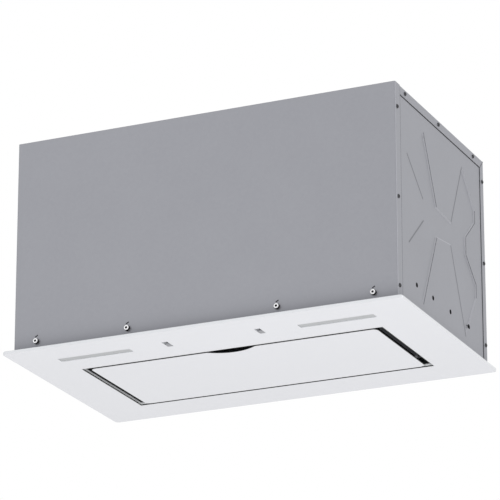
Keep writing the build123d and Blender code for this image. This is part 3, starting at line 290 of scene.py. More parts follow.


# every finish: two base colours that the effect mixes, roughness range, bump and edge colour; the edge colour
# is painted light, a painted highlight where paler and painted shade where darker
finishes = {
    "white_glass": {
        "effect": "mould", "inputs": {"Scale": 60.0, "Flow": 0.9},
        "low": srgb(233, 234, 239), "high": srgb(237, 238, 243), "rough": (0.10, 0.13), "bump": 0.0,
        "coat": 0.5, "edge": srgb(214, 216, 220), "edgeRadius": 0.0006,
        # round the opening: Dark and the band are partly the glass's own dark edge and partly painted shade of
        # the gaps, Pale is a painted highlight
        "cut": {"Dark": srgb(34, 38, 40), "Pale": srgb(250, 252, 254), "Rim": srgb(221, 223, 227)},
        "cutSizes": {
            "Dark Height": 0.0016, "Band Reach": 0.2672, "Band Front": -0.0863, "Band Back": 0.1363,
        },
    },
    # the flap's glass: its dark edge tone, its dark band and its dark cut tones are painted shade of the gaps
    # round the flap
    "flap_glass_edge": {
        "effect": "mould", "inputs": {"Scale": 60.0, "Flow": 0.9},
        "low": srgb(233, 234, 239), "high": srgb(237, 238, 243), "rough": (0.10, 0.13), "bump": 0.0,
        "coat": 0.5, "edge": srgb(70, 72, 76), "edgeRadius": 0.0010,
        "cut": {"Dark": srgb(20, 22, 24), "Pale": srgb(30, 32, 34), "Rim": srgb(30, 32, 34)},
        "cutSizes": {
            "Dark Height": 0.003, "Band Reach": 0.2540, "Band Front": -0.0801, "Band Back": 0.1310,
            "Outside": 1.0,
        },
    },
    "galvanised_steel": {
        "effect": "mottle", "inputs": {"Scale": 30.0, "Flecks": 0.25},
        "low": srgb(147, 148, 154), "high": srgb(158, 159, 165), "rough": (0.42, 0.52), "bump": 0.02,
        "metal": 0.75, "edge": srgb(112, 113, 118), "edgeRadius": 0.0009,
        # foot: painted shade along the foot of the walls
        "foot": srgb(115, 116, 121),
    },
    "pressed_steel": {
        "effect": "mottle", "inputs": {"Scale": 30.0, "Flecks": 0.25},
        "low": srgb(147, 148, 154), "high": srgb(158, 159, 165), "rough": (0.42, 0.52), "bump": 0.0,
        "metal": 0.75, "edge": srgb(150, 151, 157), "edgeRadius": 0.0004,
        # slope: painted light, a paler tone that evens out the shade of the slopes; foot: painted shade along
        # the foot
        "soften": 1.0, "slope": srgb(180, 181, 187), "foot": srgb(142, 143, 148),
    },
    "crease_steel": {
        "effect": "mottle", "inputs": {"Scale": 30.0, "Flecks": 0.25},
        "low": srgb(98, 99, 104), "high": srgb(110, 111, 116), "rough": (0.5, 0.6), "bump": 0.0,
        "metal": 0.3, "edge": srgb(98, 99, 104), "edgeRadius": 0.0003,
    },
    # the painted shade lines of the pressed cross
    "pressed_shade_line": {
        "effect": "mottle", "inputs": {"Scale": 30.0, "Flecks": 0.25},
        "low": srgb(112, 113, 118), "high": srgb(123, 124, 129), "rough": (0.5, 0.6), "bump": 0.0,
        "metal": 0.3, "edge": srgb(98, 99, 104), "edgeRadius": 0.0003,
    },
    "dark_steel": {
        "effect": "mould", "inputs": {"Scale": 220.0, "Flow": 0.3},
        "low": srgb(26, 27, 30), "high": srgb(36, 37, 40), "rough": (0.55, 0.7), "bump": 0.05,
        "edge": srgb(52, 53, 56), "edgeRadius": 0.0005,
    },
    "painted_steel": {
        "effect": "mould", "inputs": {"Scale": 260.0, "Flow": 0.3},
        "low": srgb(42, 43, 46), "high": srgb(52, 53, 56), "rough": (0.5, 0.62), "bump": 0.05,
        "edge": srgb(74, 75, 78), "edgeRadius": 0.0005,
    },
    "zinc_screw": {
        "effect": "grain", "inputs": {"Scale": 200.0, "Stretch X": 1.0, "Stretch Y": 0.1, "Stretch Z": 1.0},
        "low": srgb(206, 206, 208), "high": srgb(228, 228, 230), "rough": (0.18, 0.28), "bump": 0.02,
        "metal": 1.0, "edge": srgb(248, 248, 250), "edgeRadius": 0.0004,
    },
    "dark_screw": {
        "effect": "grain", "inputs": {"Scale": 200.0, "Stretch X": 1.0, "Stretch Y": 0.1, "Stretch Z": 1.0},
        "low": srgb(52, 52, 55), "high": srgb(64, 64, 67), "rough": (0.42, 0.55), "bump": 0.02,
        "metal": 0.3, "edge": srgb(84, 84, 88), "edgeRadius": 0.0003,
    },
    "steel_pin": {
        "effect": "grain", "inputs": {"Scale": 150.0, "Stretch X": 0.05, "Stretch Y": 1.0, "Stretch Z": 1.0},
        "low": srgb(176, 176, 178), "high": srgb(200, 200, 202), "rough": (0.2, 0.32), "bump": 0.03,
        "metal": 1.0, "edge": srgb(225, 225, 226), "edgeRadius": 0.0003,
    },
    "grey_plastic": {
        "effect": "mould", "inputs": {"Scale": 300.0, "Flow": 0.25},
        "low": srgb(140, 141, 143), "high": srgb(150, 151, 153), "rough": (0.45, 0.6), "bump": 0.08,
        "edge": srgb(168, 169, 171), "edgeRadius": 0.0004,
    },
    "black_plastic": {
        "effect": "mould", "inputs": {"Scale": 320.0, "Flow": 0.25},
        "low": srgb(30, 30, 32), "high": srgb(40, 40, 42), "rough": (0.4, 0.55), "bump": 0.1,
        "edge": srgb(70, 70, 72), "edgeRadius": 0.0005,
    },
    "aluminium_frame": {
        "effect": "grain", "inputs": {"Scale": 90.0, "Stretch X": 0.02, "Stretch Y": 1.0, "Stretch Z": 1.0},
        "low": srgb(206, 207, 209), "high": srgb(224, 225, 227), "rough": (0.28, 0.4), "bump": 0.03,
        "metal": 0.6, "edge": srgb(238, 239, 241), "edgeRadius": 0.0005,
    },
    "aluminium_mesh": {
        "effect": "grain", "inputs": {"Scale": 120.0, "Stretch X": 0.2, "Stretch Y": 1.0, "Stretch Z": 1.0},
        "low": srgb(208, 209, 212), "high": srgb(230, 231, 234), "rough": (0.34, 0.46), "bump": 0.05,
        "metal": 0.4, "edge": srgb(240, 241, 243), "edgeRadius": 0.0002,
    },
    "diffuser": {
        "effect": "mould", "inputs": {"Scale": 500.0, "Flow": 0.4},
        "low": srgb(176, 178, 180), "high": srgb(186, 188, 190), "rough": (0.3, 0.4), "bump": 0.03,
        "edge": srgb(200, 202, 204), "edgeRadius": 0.0003,
    },
    "circuit_board": {
        "effect": "mould", "inputs": {"Scale": 180.0, "Flow": 0.6},
        "low": srgb(28, 92, 52), "high": srgb(48, 122, 74), "rough": (0.3, 0.45), "bump": 0.04,
        "coat": 0.3, "edge": srgb(150, 150, 96), "edgeRadius": 0.0003,
    },
    "switch_grey": {
        "effect": "mould", "inputs": {"Scale": 380.0, "Flow": 0.25},
        "low": srgb(172, 173, 176), "high": srgb(182, 183, 186), "rough": (0.45, 0.6), "bump": 0.08,
        "edge": srgb(196, 197, 200), "edgeRadius": 0.0003,
    },
    "knob_grey": {
        "effect": "mould", "inputs": {"Scale": 380.0, "Flow": 0.25},
        "low": srgb(160, 161, 165), "high": srgb(172, 173, 177), "rough": (0.4, 0.55), "bump": 0.08,
        "edge": srgb(190, 191, 194), "edgeRadius": 0.0003,
    },
    "blower_plastic": {
        "effect": "mould", "inputs": {"Scale": 240.0, "Flow": 0.35},
        "low": srgb(50, 51, 54), "high": srgb(62, 63, 66), "rough": (0.45, 0.6), "bump": 0.08,
        "edge": srgb(92, 93, 96), "edgeRadius": 0.0008,
    },
    "impeller_steel": {
        "effect": "mottle", "inputs": {"Scale": 60.0, "Flecks": 0.4},
        "low": srgb(150, 151, 156), "high": srgb(170, 171, 176), "rough": (0.34, 0.46), "bump": 0.02,
        "metal": 0.9, "edge": srgb(190, 191, 196), "edgeRadius": 0.0004,
    },
    "motor_steel": {
        "effect": "mould", "inputs": {"Scale": 200.0, "Flow": 0.4},
        "low": srgb(116, 117, 120), "high": srgb(130, 131, 134), "rough": (0.35, 0.5), "bump": 0.06,
        "metal": 0.4, "edge": srgb(168, 169, 172), "edgeRadius": 0.0006,
    },
    # the dark beads along the seams and round the foot and the dark inserts behind the slits also use this
    # tone, and there it is painted shade
    "rubber": {
        "effect": "mould", "inputs": {"Scale": 400.0, "Flow": 0.3},
        "low": srgb(32, 32, 33), "high": srgb(42, 42, 43), "rough": (0.7, 0.85), "bump": 0.12,
        "edge": srgb(58, 58, 59), "edgeRadius": 0.0005,
    },
    # on the hole rims and on the cap screws' sides and sockets this near-black is painted light: painted shade
    # in the holes and sockets, a painted dark reflection on the screw sides
    "blackened_steel": {
        "effect": "mould", "inputs": {"Scale": 400.0, "Flow": 0.3},
        "low": srgb(12, 12, 13), "high": srgb(18, 18, 19), "rough": (0.75, 0.85), "bump": 0.0,
        "specular": 0.1, "edge": srgb(20, 20, 21), "edgeRadius": 0.0003,
    },
    "collar_plastic": {
        "effect": "mould", "inputs": {"Scale": 260.0, "Flow": 0.3},
        "low": srgb(38, 39, 41), "high": srgb(48, 49, 51), "rough": (0.4, 0.52), "bump": 0.08,
        "edge": srgb(84, 85, 87), "edgeRadius": 0.0008,
    },
    "damper_plastic": {
        "effect": "mould", "inputs": {"Scale": 260.0, "Flow": 0.3},
        "low": srgb(92, 93, 96), "high": srgb(104, 105, 108), "rough": (0.4, 0.55), "bump": 0.08,
        "edge": srgb(132, 133, 136), "edgeRadius": 0.0005,
    },
    "control_plastic": {
        "effect": "mould", "inputs": {"Scale": 240.0, "Flow": 0.3},
        "low": srgb(190, 190, 186), "high": srgb(202, 202, 198), "rough": (0.45, 0.6), "bump": 0.08,
        "edge": srgb(216, 216, 212), "edgeRadius": 0.0008,
    },
    "capacitor_plastic": {
        "effect": "mould", "inputs": {"Scale": 200.0, "Flow": 0.4},
        "low": srgb(200, 200, 200), "high": srgb(212, 212, 212), "rough": (0.2, 0.3), "bump": 0.02,
        "coat": 0.2, "edge": srgb(226, 226, 226), "edgeRadius": 0.0006,
    },
}


# the slopes of the pressed cross, told by the sideways share of their normals
pressedSlope = {"from": 0.6, "to": 0.95, "frontTo": 0.1}


def softenSlopes(tree, shader, surface, look):
    # shallow pressed slopes are shaded nearer to the flat of the panel, and those that face
    # the front get less light than the flat, so their colour is painted a little paler: painted
    # light that evens out their shade
    coords = addNode(tree, "ShaderNodeTexCoord")
    kept = 1.0 - look["soften"]
    flat = addNode(tree, "ShaderNodeVectorMath", operation="MULTIPLY")
    flat.inputs[1].default_value = (1.0, kept, kept)
    tree.links.new(coords.outputs["Normal"], flat.inputs[0])
    turned = addNode(
        tree, "ShaderNodeVectorTransform", vector_type="NORMAL", convert_from="OBJECT", convert_to="WORLD"
    )
    tree.links.new(flat.outputs["Vector"], turned.inputs["Vector"])
    parts = addNode(tree, "ShaderNodeSeparateXYZ")
    tree.links.new(coords.outputs["Normal"], parts.inputs[0])
    sideways = mathNode(tree, "ABSOLUTE", parts.outputs["X"])
    broad = mathNode(tree, "GREATER_THAN", sideways, pressedSlope["from"])
    plain = addNode(tree, "ShaderNodeNewGeometry")
    normal = addNode(tree, "ShaderNodeMix", data_type="VECTOR")
    tree.links.new(broad, normal.inputs["Factor"])
    tree.links.new(plain.outputs["Normal"], normal.inputs["A"])
    tree.links.new(turned.outputs["Vector"], normal.inputs["B"])
    unit = addNode(tree, "ShaderNodeVectorMath", operation="NORMALIZE")
    tree.links.new(normal.outputs["Result"], unit.inputs[0])
    tree.links.new(unit.outputs["Vector"], shader.inputs["Normal"])
    sloped = mathNode(tree, "LESS_THAN", sideways, pressedSlope["to"])
    forward = mathNode(tree, "LESS_THAN", parts.outputs["Y"], pressedSlope["frontTo"])
    mask = mathNode(tree, "MULTIPLY", mathNode(tree, "MULTIPLY", sloped, forward), broad)
    return layTone(tree, surface, look["slope"], mask)


# what the finishes share, unless one of them says otherwise
everyFinish = {"metal": 0.0, "specular": 0.5, "coat": 0.0, "coatRoughness": 0.05, "bumpDistance": 0.0005}


def makeFinish(name, own):
    look = {**everyFinish, **own}
    made = bpy.data.materials.new(name)
    made.use_nodes = True
    tree = made.node_tree
    tree.nodes.clear()
    out = addNode(tree, "ShaderNodeOutputMaterial")
    shader = addNode(tree, "ShaderNodeBsdfPrincipled")
    shader.inputs["Metallic"].default_value = look["metal"]
    shader.inputs["Specular IOR Level"].default_value = look["specular"]
    shader.inputs["Coat Weight"].default_value = look["coat"]
    shader.inputs["Coat Roughness"].default_value = look["coatRoughness"]
    tree.links.new(shader.outputs["BSDF"], out.inputs["Surface"])
    effect = placeEffect(tree, look["effect"], look["inputs"])
    colour = addNode(tree, "ShaderNodeMix", data_type="RGBA")
    colour.inputs["A"].default_value = look["low"]
    colour.inputs["B"].default_value = look["high"]
    tree.links.new(effect.outputs["Mask"], colour.inputs["Factor"])
    # painted highlight and painted shade along the edges
    edge = placeEffect(tree, "edge", {"Radius": look["edgeRadius"]})
    surface = layTone(tree, colour.outputs["Result"], look["edge"], edge.outputs["Mask"])
    # painted shade and painted highlight round the glass opening and round the flap
    if "cut" in look:
        cut = placeEffect(tree, "cut", look["cutSizes"])
        for mask, tone in look["cut"].items():
            surface = layTone(tree, surface, tone, cut.outputs[mask])
    # painted shade towards the foot
    if "foot" in look:
        surface = layTone(tree, surface, look["foot"], placeEffect(tree, "foot", {}).outputs["Mask"])
    # painted light on the pressed slopes
    if "soften" in look:
        surface = softenSlopes(tree, shader, surface, look)
    tree.links.new(surface, shader.inputs["Base Color"])
    rough = addNode(tree, "ShaderNodeMapRange")
    rough.inputs["To Min"].default_value, rough.inputs["To Max"].default_value = look["rough"]
    tree.links.new(effect.outputs["Mask"], rough.inputs["Value"])
    tree.links.new(rough.outputs["Result"], shader.inputs["Roughness"])
    if look["bump"] > 0:
        bump = addNode(tree, "ShaderNodeBump")
        bump.inputs["Strength"].default_value = look["bump"]
        bump.inputs["Distance"].default_value = look["bumpDistance"]
        tree.links.new(effect.outputs["Height"], bump.inputs["Height"])
        tree.links.new(bump.outputs["Normal"], shader.inputs["Normal"])
    return made


materials = {name: makeFinish(name, look) for name, look in finishes.items()}
print("materials:", len(materials))


# nodes whose finish differs from the one that their slot names
ownFinish = {
    "flap_glass": "flap_glass_edge",
    "side_panel_right": "pressed_steel",
    "side_panel_left": "pressed_steel",
}


def dressNodes():
    slots = {part["node"]: part["material_slot"] for part in frame["record"]["subparts"]}
    for name, node in frame["nodes"].items():
        node.data.materials.clear()
        node.data.materials.append(materials[ownFinish.get(name, slots[name])])


dressNodes()
print("nodes dressed")


# small helpers for the added pieces
weldDistance = 1e-6


def newPiece(name, mesh, finish, body="hood"):
    piece = bpy.data.objects.new(name, mesh)
    bpy.context.scene.collection.objects.link(piece)
    mesh.materials.append(materials[finish])
    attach(piece, body)
    return piece


def meshFrom(name, points, faces):
    mesh = bpy.data.meshes.new(name)
    mesh.from_pydata(points, [], faces)
    mesh.validate()
    mesh.update()
    return mesh


def pieceFrom(name, parts, finish, body="hood"):
    # one piece made of several parts, each with its own points and faces
    points, faces = [], []
    for more, rings in parts:
        start = len(points)
        points.extend(more)
        faces.extend(tuple(start + index for index in ring) for ring in rings)
    return newPiece(name, meshFrom(name, points, faces), finish, body)


def weldedCopy(node):
    work = bmesh.new()
    work.from_mesh(frame["nodes"][node].data)
    bmesh.ops.remove_doubles(work, verts=work.verts, dist=weldDistance)
    return work


def islands(node):
    # lowest and highest corner of each separate solid in a CAD node
    work = weldedCopy(node)
    left = set(work.verts)
    found = []
    while left:
        group, queue = set(), [left.pop()]
        while queue:
            vert = queue.pop()
            group.add(vert)
            near = {edge.other_vert(vert) for edge in vert.link_edges}
            queue.extend(near & left)
            left -= near
        spots = [vert.co for vert in group]
        low = Vector([min(spot[axis] for spot in spots) for axis in range(3)])
        high = Vector([max(spot[axis] for spot in spots) for axis in range(3)])
        found.append((low, high))
    work.free()
    return found


# a bead's section: share of its width, share of its height
beadSection = [(0.0, 0.0), (0.12, 0.7), (0.35, 1.0), (0.65, 1.0), (0.88, 0.7), (1.0, 0.0)]


def beadAlong(path, inward, height, outward):
    # points and faces of a low bead laid along a path on one face, with mitred corners
    points, faces = [], []
    for spot, lean in zip(path, inward):
        for across, up in beadSection:
            points.append(tuple(Vector(spot) + Vector(lean) * across + Vector(outward) * height * up))
    step = len(beadSection)
    for run in range(len(path) - 1):
        for side in range(step - 1):
            first = run * step + side
            faces.append((first, first + 1, first + step + 1, first + step))
    faces.append(tuple(range(step)))
    faces.append(tuple(reversed(range((len(path) - 1) * step, len(path) * step))))
    return points, faces


# painted shade: dark beads along the seams between the side panels and the folded flanges, standing in for the
# shade of the steps there
seamShadeBead = {
    "front": 0.0026,
    "roof": 0.0012,
    "back": 0.0008,
    "height": 0.0005,
    "mitreWidth": 0.0010,
    "mitreHeight": 0.00012,
    "mitreInset": 0.0006,
}


def makeSeamShadeBeads(look):
    panelLow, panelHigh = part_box("side_panel_right")
    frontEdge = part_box("front_wall")[1].y
    backLow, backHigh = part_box("back_wall")
    roofLow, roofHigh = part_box("top_wall")
    foot = panelLow.z
    parts = []
    for side in (-1, 1):
        face = side * panelHigh.x
        path = [
            (face, frontEdge, foot), (face, frontEdge, roofLow.z),
            (face, backLow.y, roofLow.z), (face, backLow.y, foot),
        ]
        inward = [
            (0, look["front"], 0), (0, look["front"], -look["roof"]),
            (0, -look["back"], -look["roof"]), (0, -look["back"], 0),
        ]
        parts.append(beadAlong(path, inward, look["height"], (side, 0, 0)))
        # the mitred corner between the roof's flange and the back flange
        skin = side * roofHigh.x
        inset = look["mitreInset"]
        corner = [(skin, backLow.y, roofLow.z), (skin, backHigh.y - inset, roofHigh.z - inset)]
        lean = Vector((0, 1, -1)).normalized() * look["mitreWidth"]
        start = [tuple(Vector(spot) - lean / 2) for spot in corner]
        parts.append(beadAlong(start, [lean, lean], look["mitreHeight"], (side, 0, 0)))
    return pieceFrom("seamShadeBeads", parts, "rubber")


makeSeamShadeBeads(seamShadeBead)

# painted shade: dark inserts just behind the slits above the foot screws, so that the slits read as dark
slitShade = {
    "length": 0.0052,
    "width": 0.0016,
    "angle": 30.0,
    "rise": 0.009,
    "inset": 0.0003,
    "depth": 0.0004,
    "sides": 12,
}


def makeSlitShades(look):
    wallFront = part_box("front_wall")[0].y
    turn = math.radians(look["angle"])
    along = Vector((math.cos(turn), 0, math.sin(turn)))
    across = Vector((-math.sin(turn), 0, math.cos(turn)))
    halfLength, halfWidth = look["length"] / 2, look["width"] / 2
    sides = look["sides"]
    parts = []
    for low, high in islands("front_screws"):
        centre = Vector(((low.x + high.x) / 2, wallFront, (low.z + high.z) / 2 + look["rise"]))
        ring = []
        for index in range(sides):
            angle = math.tau * index / sides
            reach = along * math.cos(angle) * halfWidth + across * math.sin(angle) * halfWidth
            shift = along * math.copysign(halfLength - halfWidth, math.cos(angle))
            ring.append(centre + reach + shift)
        points = [tuple(spot + Vector((0, look["inset"], 0))) for spot in ring]
        points += [tuple(spot + Vector((0, look["inset"] + look["depth"], 0))) for spot in ring]
        faces = [tuple(range(sides)), tuple(reversed(range(sides, 2 * sides)))]
        for index in range(sides):
            after = (index + 1) % sides
            faces.append((index, after, sides + after, sides + index))
        parts.append((points, faces))
    return pieceFrom("slitShades", parts, "rubber")


makeSlitShades(slitShade)

# painted shade: dark lines along the pressed cross, a narrow strip down the slopes that face
# the front, and on the flat beside the slopes that face the back, standing in for the shade at its creases
pressShadeLine = {
    "lift": 0.00006,
    "slope": 0.0011,
    "flat": 0.0028,
    "flatFrom": 0.99,
    "faceDepth": 0.0005,
    "leastLength": 0.012,
    "centre": (0.0075, 0.18),
    "turnedFrom": 0.6,
    "uprightTo": 0.06,
    "rearFrom": 0.1,
    "sameFlat": 0.01,
}


def pressedEdges(work, out, face, look):
    # edges where a pressed slope meets the flat of the panel, with that slope and that flat
    for edge in work.edges:
        if len(edge.link_faces) != 2 or edge.calc_length() < look["leastLength"]:
            continue
        slope, flat = sorted(edge.link_faces, key=lambda side: out * side.normal.x)
        onFace = edge.verts[0].co.x * out >= face - look["faceDepth"]
        sloped = pressedSlope["from"] < out * slope.normal.x < pressedSlope["to"]
        if onFace and sloped and out * flat.normal.x >= look["flatFrom"]:
            yield edge, slope, flat


def turnedAway(edge, slope, look):
    # slopes that lean to the centre of the cross carry no line, apart from the upright rear ones
    middle = (edge.verts[0].co + edge.verts[1].co) / 2
    inward = Vector((look["centre"][0] - middle.y, look["centre"][1] - middle.z)).normalized()
    lean = Vector((slope.normal.y, slope.normal.z)).normalized()
    upright = abs(slope.normal.z) < look["uprightTo"] and middle.y > look["rearFrom"]
    return inward.dot(lean) > look["turnedFrom"] and not upright


def stripBeside(edge, slope, flat, look):
    middle = (edge.verts[0].co + edge.verts[1].co) / 2
    lean = Vector((slope.normal.y, slope.normal.z)).normalized()
    along = (edge.verts[1].co - edge.verts[0].co).normalized()
    host = slope if slope.normal.y < 0 else flat
    across = along.cross(host.normal)
    if host is slope and across.dot(host.calc_center_median() - middle) < 0:
        across.negate()
    if host is flat and across.dot(Vector((0, lean.x, lean.y))) > 0:
        across.negate()
    width = look["slope"] if host is slope else look["flat"]
    near = [vert.co + host.normal * look["lift"] for vert in edge.verts]
    far = [spot + across * width for spot in reversed(near)]
    return [tuple(spot) for spot in near + far], [(0, 1, 2, 3)]


def makePressShadeLines(look):
    parts = []
    for node, out in (("side_panel_right", 1), ("side_panel_left", -1)):
        work = weldedCopy(node)
        bmesh.ops.dissolve_limit(work, angle_limit=look["sameFlat"], verts=work.verts, edges=work.edges)
        face = max(out * corner.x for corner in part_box(node))
        for edge, slope, flat in pressedEdges(work, out, face, look):
            if not turnedAway(edge, slope, look):
                parts.append(stripBeside(edge, slope, flat, look))
        work.free()
    print("pressed lines:", len(parts))
    return pieceFrom("pressShadeLines", parts, "pressed_shade_line")


makePressShadeLines(pressShadeLine)

# painted shade: dark rims round the punched cabinet holes, so that the holes read darker
holeShadeRim = {"inner": 0.0026, "outer": 0.0040, "lift": 0.0001, "sides": 32}


def ringBand(centre, axisOut, across, inner, outer, lift, sides):
    # a flat ring with a thickness, lying on a face
    up = axisOut.cross(across)
    points, faces = [], []
    for index in range(sides):
        angle = math.tau * index / sides
        reach = across * math.cos(angle) + up * math.sin(angle)
        for radius, height in ((inner, 0.0), (inner, lift), (outer, lift), (outer, 0.0)):
            points.append(tuple(centre + reach * radius + axisOut * height))
    for index in range(sides):
        start, after = index * 4, (index + 1) % sides * 4
        for side in range(4):
            near = (side + 1) % 4
            faces.append((start + side, start + near, after + near, after + side))
    return points, faces


millimetres = 1000  # in a metre


def holeSpots(mount):
    half = mount["dims"]["spacing_x_mm"] / millimetres / 2
    middle = Vector(mount["pos_m"])
    return [middle + Vector((0, side * half, 0)) for side in (-1, 1)]


def makeHoleShadeRims(look):
    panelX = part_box("side_panel_right")[1].x
    along = Vector((0, 1, 0))
    parts = []
    for mount in frame["record"]["mounts"]:
        if not mount["name"].startswith("cabinet_holes"):
            continue
        for spot in holeSpots(mount):
            out = Vector((math.copysign(1.0, spot.x), 0, 0))
            face = Vector((out.x * panelX, spot.y, spot.z))
            parts.append(ringBand(face, out, along, look["inner"], look["outer"], look["lift"], look["sides"]))
    return pieceFrom("holeShadeRims", parts, "blackened_steel")


makeHoleShadeRims(holeShadeRim)

# knurled sides and hexagonal sockets of the cap screws at the foot of the body, both near-black: painted shade
# in the sockets and a painted dark reflection on the sides
capScrew = {
    "flutes": 36,
    "proud": 0.0001,
    "depth": 0.00022,
    "start": 0.0007,
    "end": 0.0047,
    "socket": 0.0028,
    "plug": 0.0003,
    "plugDepth": 0.0004,
}


def knurledSleeve(centre, radius, look):
    count = look["flutes"] * 2
    points, faces = [], []
    for depth in (look["start"], look["end"]):
        for inner in (False, True):
            for index in range(count):
                angle = math.tau * index / count
                reach = radius - look["depth"] if inner else radius + look["proud"] * (1 + index % 2)
                x, z = centre.x + reach * math.cos(angle), centre.z + reach * math.sin(angle)
                points.append((x, centre.y + depth, z))
    near, nearIn, far, farIn = 0, count, 2 * count, 3 * count
    for index in range(count):
        after = (index + 1) % count
        faces.append((near + index, near + after, far + after, far + index))
        faces.append((near + after, near + index, nearIn + index, nearIn + after))
        faces.append((far + index, far + after, farIn + after, farIn + index))
    return points, faces


def socketShadePlug(centre, look):
    reach = look["socket"]
    angles = [math.tau * side / 6 for side in range(6)]
    ring = [(centre.x + reach * math.cos(turn), centre.z + reach * math.sin(turn)) for turn in angles]
    front = centre.y + look["plug"]
    points = [(x, y, z) for y in (front, front + look["plugDepth"]) for x, z in ring]
    faces = [tuple(range(6)), tuple(reversed(range(6, 12)))]
    faces += [(index, 6 + index, 6 + (index + 1) % 6, (index + 1) % 6) for index in range(6)]
    return points, faces


def makeScrewKnurls(look):
    sleeves, plugs = [], []
    for low, high in islands("front_screws"):
        centre = Vector(((low.x + high.x) / 2, low.y, (low.z + high.z) / 2))
        sleeves.append(knurledSleeve(centre, (high.z - low.z) / 2, look))
        plugs.append(socketShadePlug(centre, look))
    pieceFrom("screwKnurls", sleeves, "blackened_steel")
    pieceFrom("screwSocketShades", plugs, "blackened_steel")


makeScrewKnurls(capScrew)

# painted shade: a dark bead round the foot of the steel body, where it stands on the glass, standing in for
# the shade along the foot
footShadeBead = {"width": 0.0016, "height": 0.0014, "shoulderOut": 0.55, "shoulderUp": 0.6}


def makeFootShadeBead(look):
    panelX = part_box("side_panel_right")[1].x
    yFront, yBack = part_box("front_wall")[0].y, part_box("back_wall")[1].y
    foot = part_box("glass_panel")[1].z
    corners = [(-panelX, yFront), (panelX, yFront), (panelX, yBack), (-panelX, yBack)]
    path = [(x, y, foot) for x, y in corners + corners[:1]]
    outward = [(-1, -1), (1, -1), (1, 1), (-1, 1), (-1, -1)]
    shoulder = (look["width"] * look["shoulderOut"], look["height"] * look["shoulderUp"])
    section = [(0, 0), (look["width"], 0), shoulder, (0, look["height"])]
    points, faces = [], []
    for spot, (leanX, leanY) in zip(path, outward):
        for out, up in section:
            points.append((spot[0] + leanX * out, spot[1] + leanY * out, spot[2] + up))
    step = len(section)
    for run in range(len(path) - 1):
        for side in range(step - 1):
            first = run * step + side
            faces.append((first, first + step, first + step + 1, first + 1))
    return newPiece("footShadeBead", meshFrom("footShadeBead", points, faces), "rubber")


makeFootShadeBead(footShadeBead)
print("seams, slits, pressed lines and screws done")

# folded lips of the flap's steel pan, seen through the suction gaps
panLip = {
    "front": -0.066,
    "back": 0.098,
    "reach": 0.0106,
    "height": 0.0064,
    "sheet": 0.001,
    "clear": 0.00015,
}


def makePanLips(look):
    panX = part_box("flap_pan")[1].x
    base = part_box("flap_glass")[1].z + look["clear"]
    tip = panX + look["reach"]
    section = [
        (panX + look["clear"], base), (tip, base), (tip, base + look["height"]),
        (tip - look["sheet"], base + look["height"]), (tip - look["sheet"], base + look["sheet"]),
        (panX + look["clear"], base + look["sheet"]),
    ]
    count = len(section)
    parts = []
    for side in (-1, 1):
        points = [(side * x, y, z) for y in (look["front"], look["back"]) for x, z in section]
        faces = [tuple(reversed(range(count))), tuple(range(count, 2 * count))]
        for index in range(count):
            after = (index + 1) % count
            faces.append((index, after, count + after, count + index))
        if side < 0:
            faces = [tuple(reversed(face)) for face in faces]
        parts.append((points, faces))
    return pieceFrom("panLips", parts, "crease_steel", body="flap")


makePanLips(panLip)

# gasket between the roof and the flange of the duct collar
collarGasket = {"outer": 0.0013, "height": 0.0009, "sides": 96}


def makeCollarGasket(look):
    low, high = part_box("duct_collar")
    centre = Vector(((low.x + high.x) / 2, (low.y + high.y) / 2, low.z))
    radius = (high.x - low.x) / 2
    outer = radius + look["outer"]
    up, across = Vector((0, 0, 1)), Vector((1, 0, 0))
    band = ringBand(centre, up, across, radius, outer, look["height"], look["sides"])
    return pieceFrom("collarGasket", [band], "rubber")


makeCollarGasket(collarGasket)

# filter mesh: layers of expanded metal, each strand a zigzag ribbon on edge
filterMesh = {
    "long": 0.016,
    "short": 0.009,
    "strand": 0.0014,
    "thick": 0.0005,
    "tilt": 0.0004,
    "layers": (0.0002, 0.0015),
}


def nodeSlot(node):
    return next(part["material_slot"] for part in frame["record"]["subparts"] if part["node"] == node)


def meshStrand(startX, base, rise, steps, turned, look):
    # one zigzag ribbon along x, its section tilted about its own length
    halfLong, half, tilt, thick = look["long"] / 2, look["strand"] / 2, look["tilt"], look["thick"]
    swing = look["short"] / 4 - half
    section = [(-half, -tilt), (half, tilt), (half, tilt + thick), (-half, thick - tilt)]
    points, faces = [], []
    for index in range(steps + 1):
        offset = swing if (index + turned) % 2 else -swing
        for across, up in section:
            points.append((startX + index * halfLong, base + offset + across, rise + tilt + up))
    for index in range(steps):
        start = index * 4
        for side in range(4):
            near = (side + 1) % 4
            faces.append((start + side, start + 4 + side, start + 4 + near, start + near))
    last = steps * 4
    faces.append((0, 1, 2, 3))
    faces.append((last + 3, last + 2, last + 1, last))
    return points, faces


def makeFilterMesh(node, look):
    low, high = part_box(node)
    halfLong, halfShort = look["long"] / 2, look["short"] / 2
    rows = int((high.y - low.y) / halfShort) - 1
    steps = int((high.x - low.x) / halfLong) - 1
    startX = (low.x + high.x - steps * halfLong) / 2
    startY = (low.y + high.y - rows * halfShort) / 2
    strands = []
    for layer, lift in enumerate(look["layers"]):
        for row in range(rows + 1):
            base = startY + row * halfShort
            strands.append(meshStrand(startX, base, low.z + lift, steps, row + layer, look))
    piece = pieceFrom("expanded_" + node, strands, nodeSlot(node))
    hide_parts(node)
    return piece


for meshNode in ("filter_mesh_right", "filter_mesh_left"):
    makeFilterMesh(meshNode, filterMesh)
print("flap lips, gasket and filter mesh done")


# floor far below, since the camera looks up at the hood from under it
floor = {"height": -2.6, "half": 14.0, "colour": srgb(238, 238, 238), "rough": 0.9}


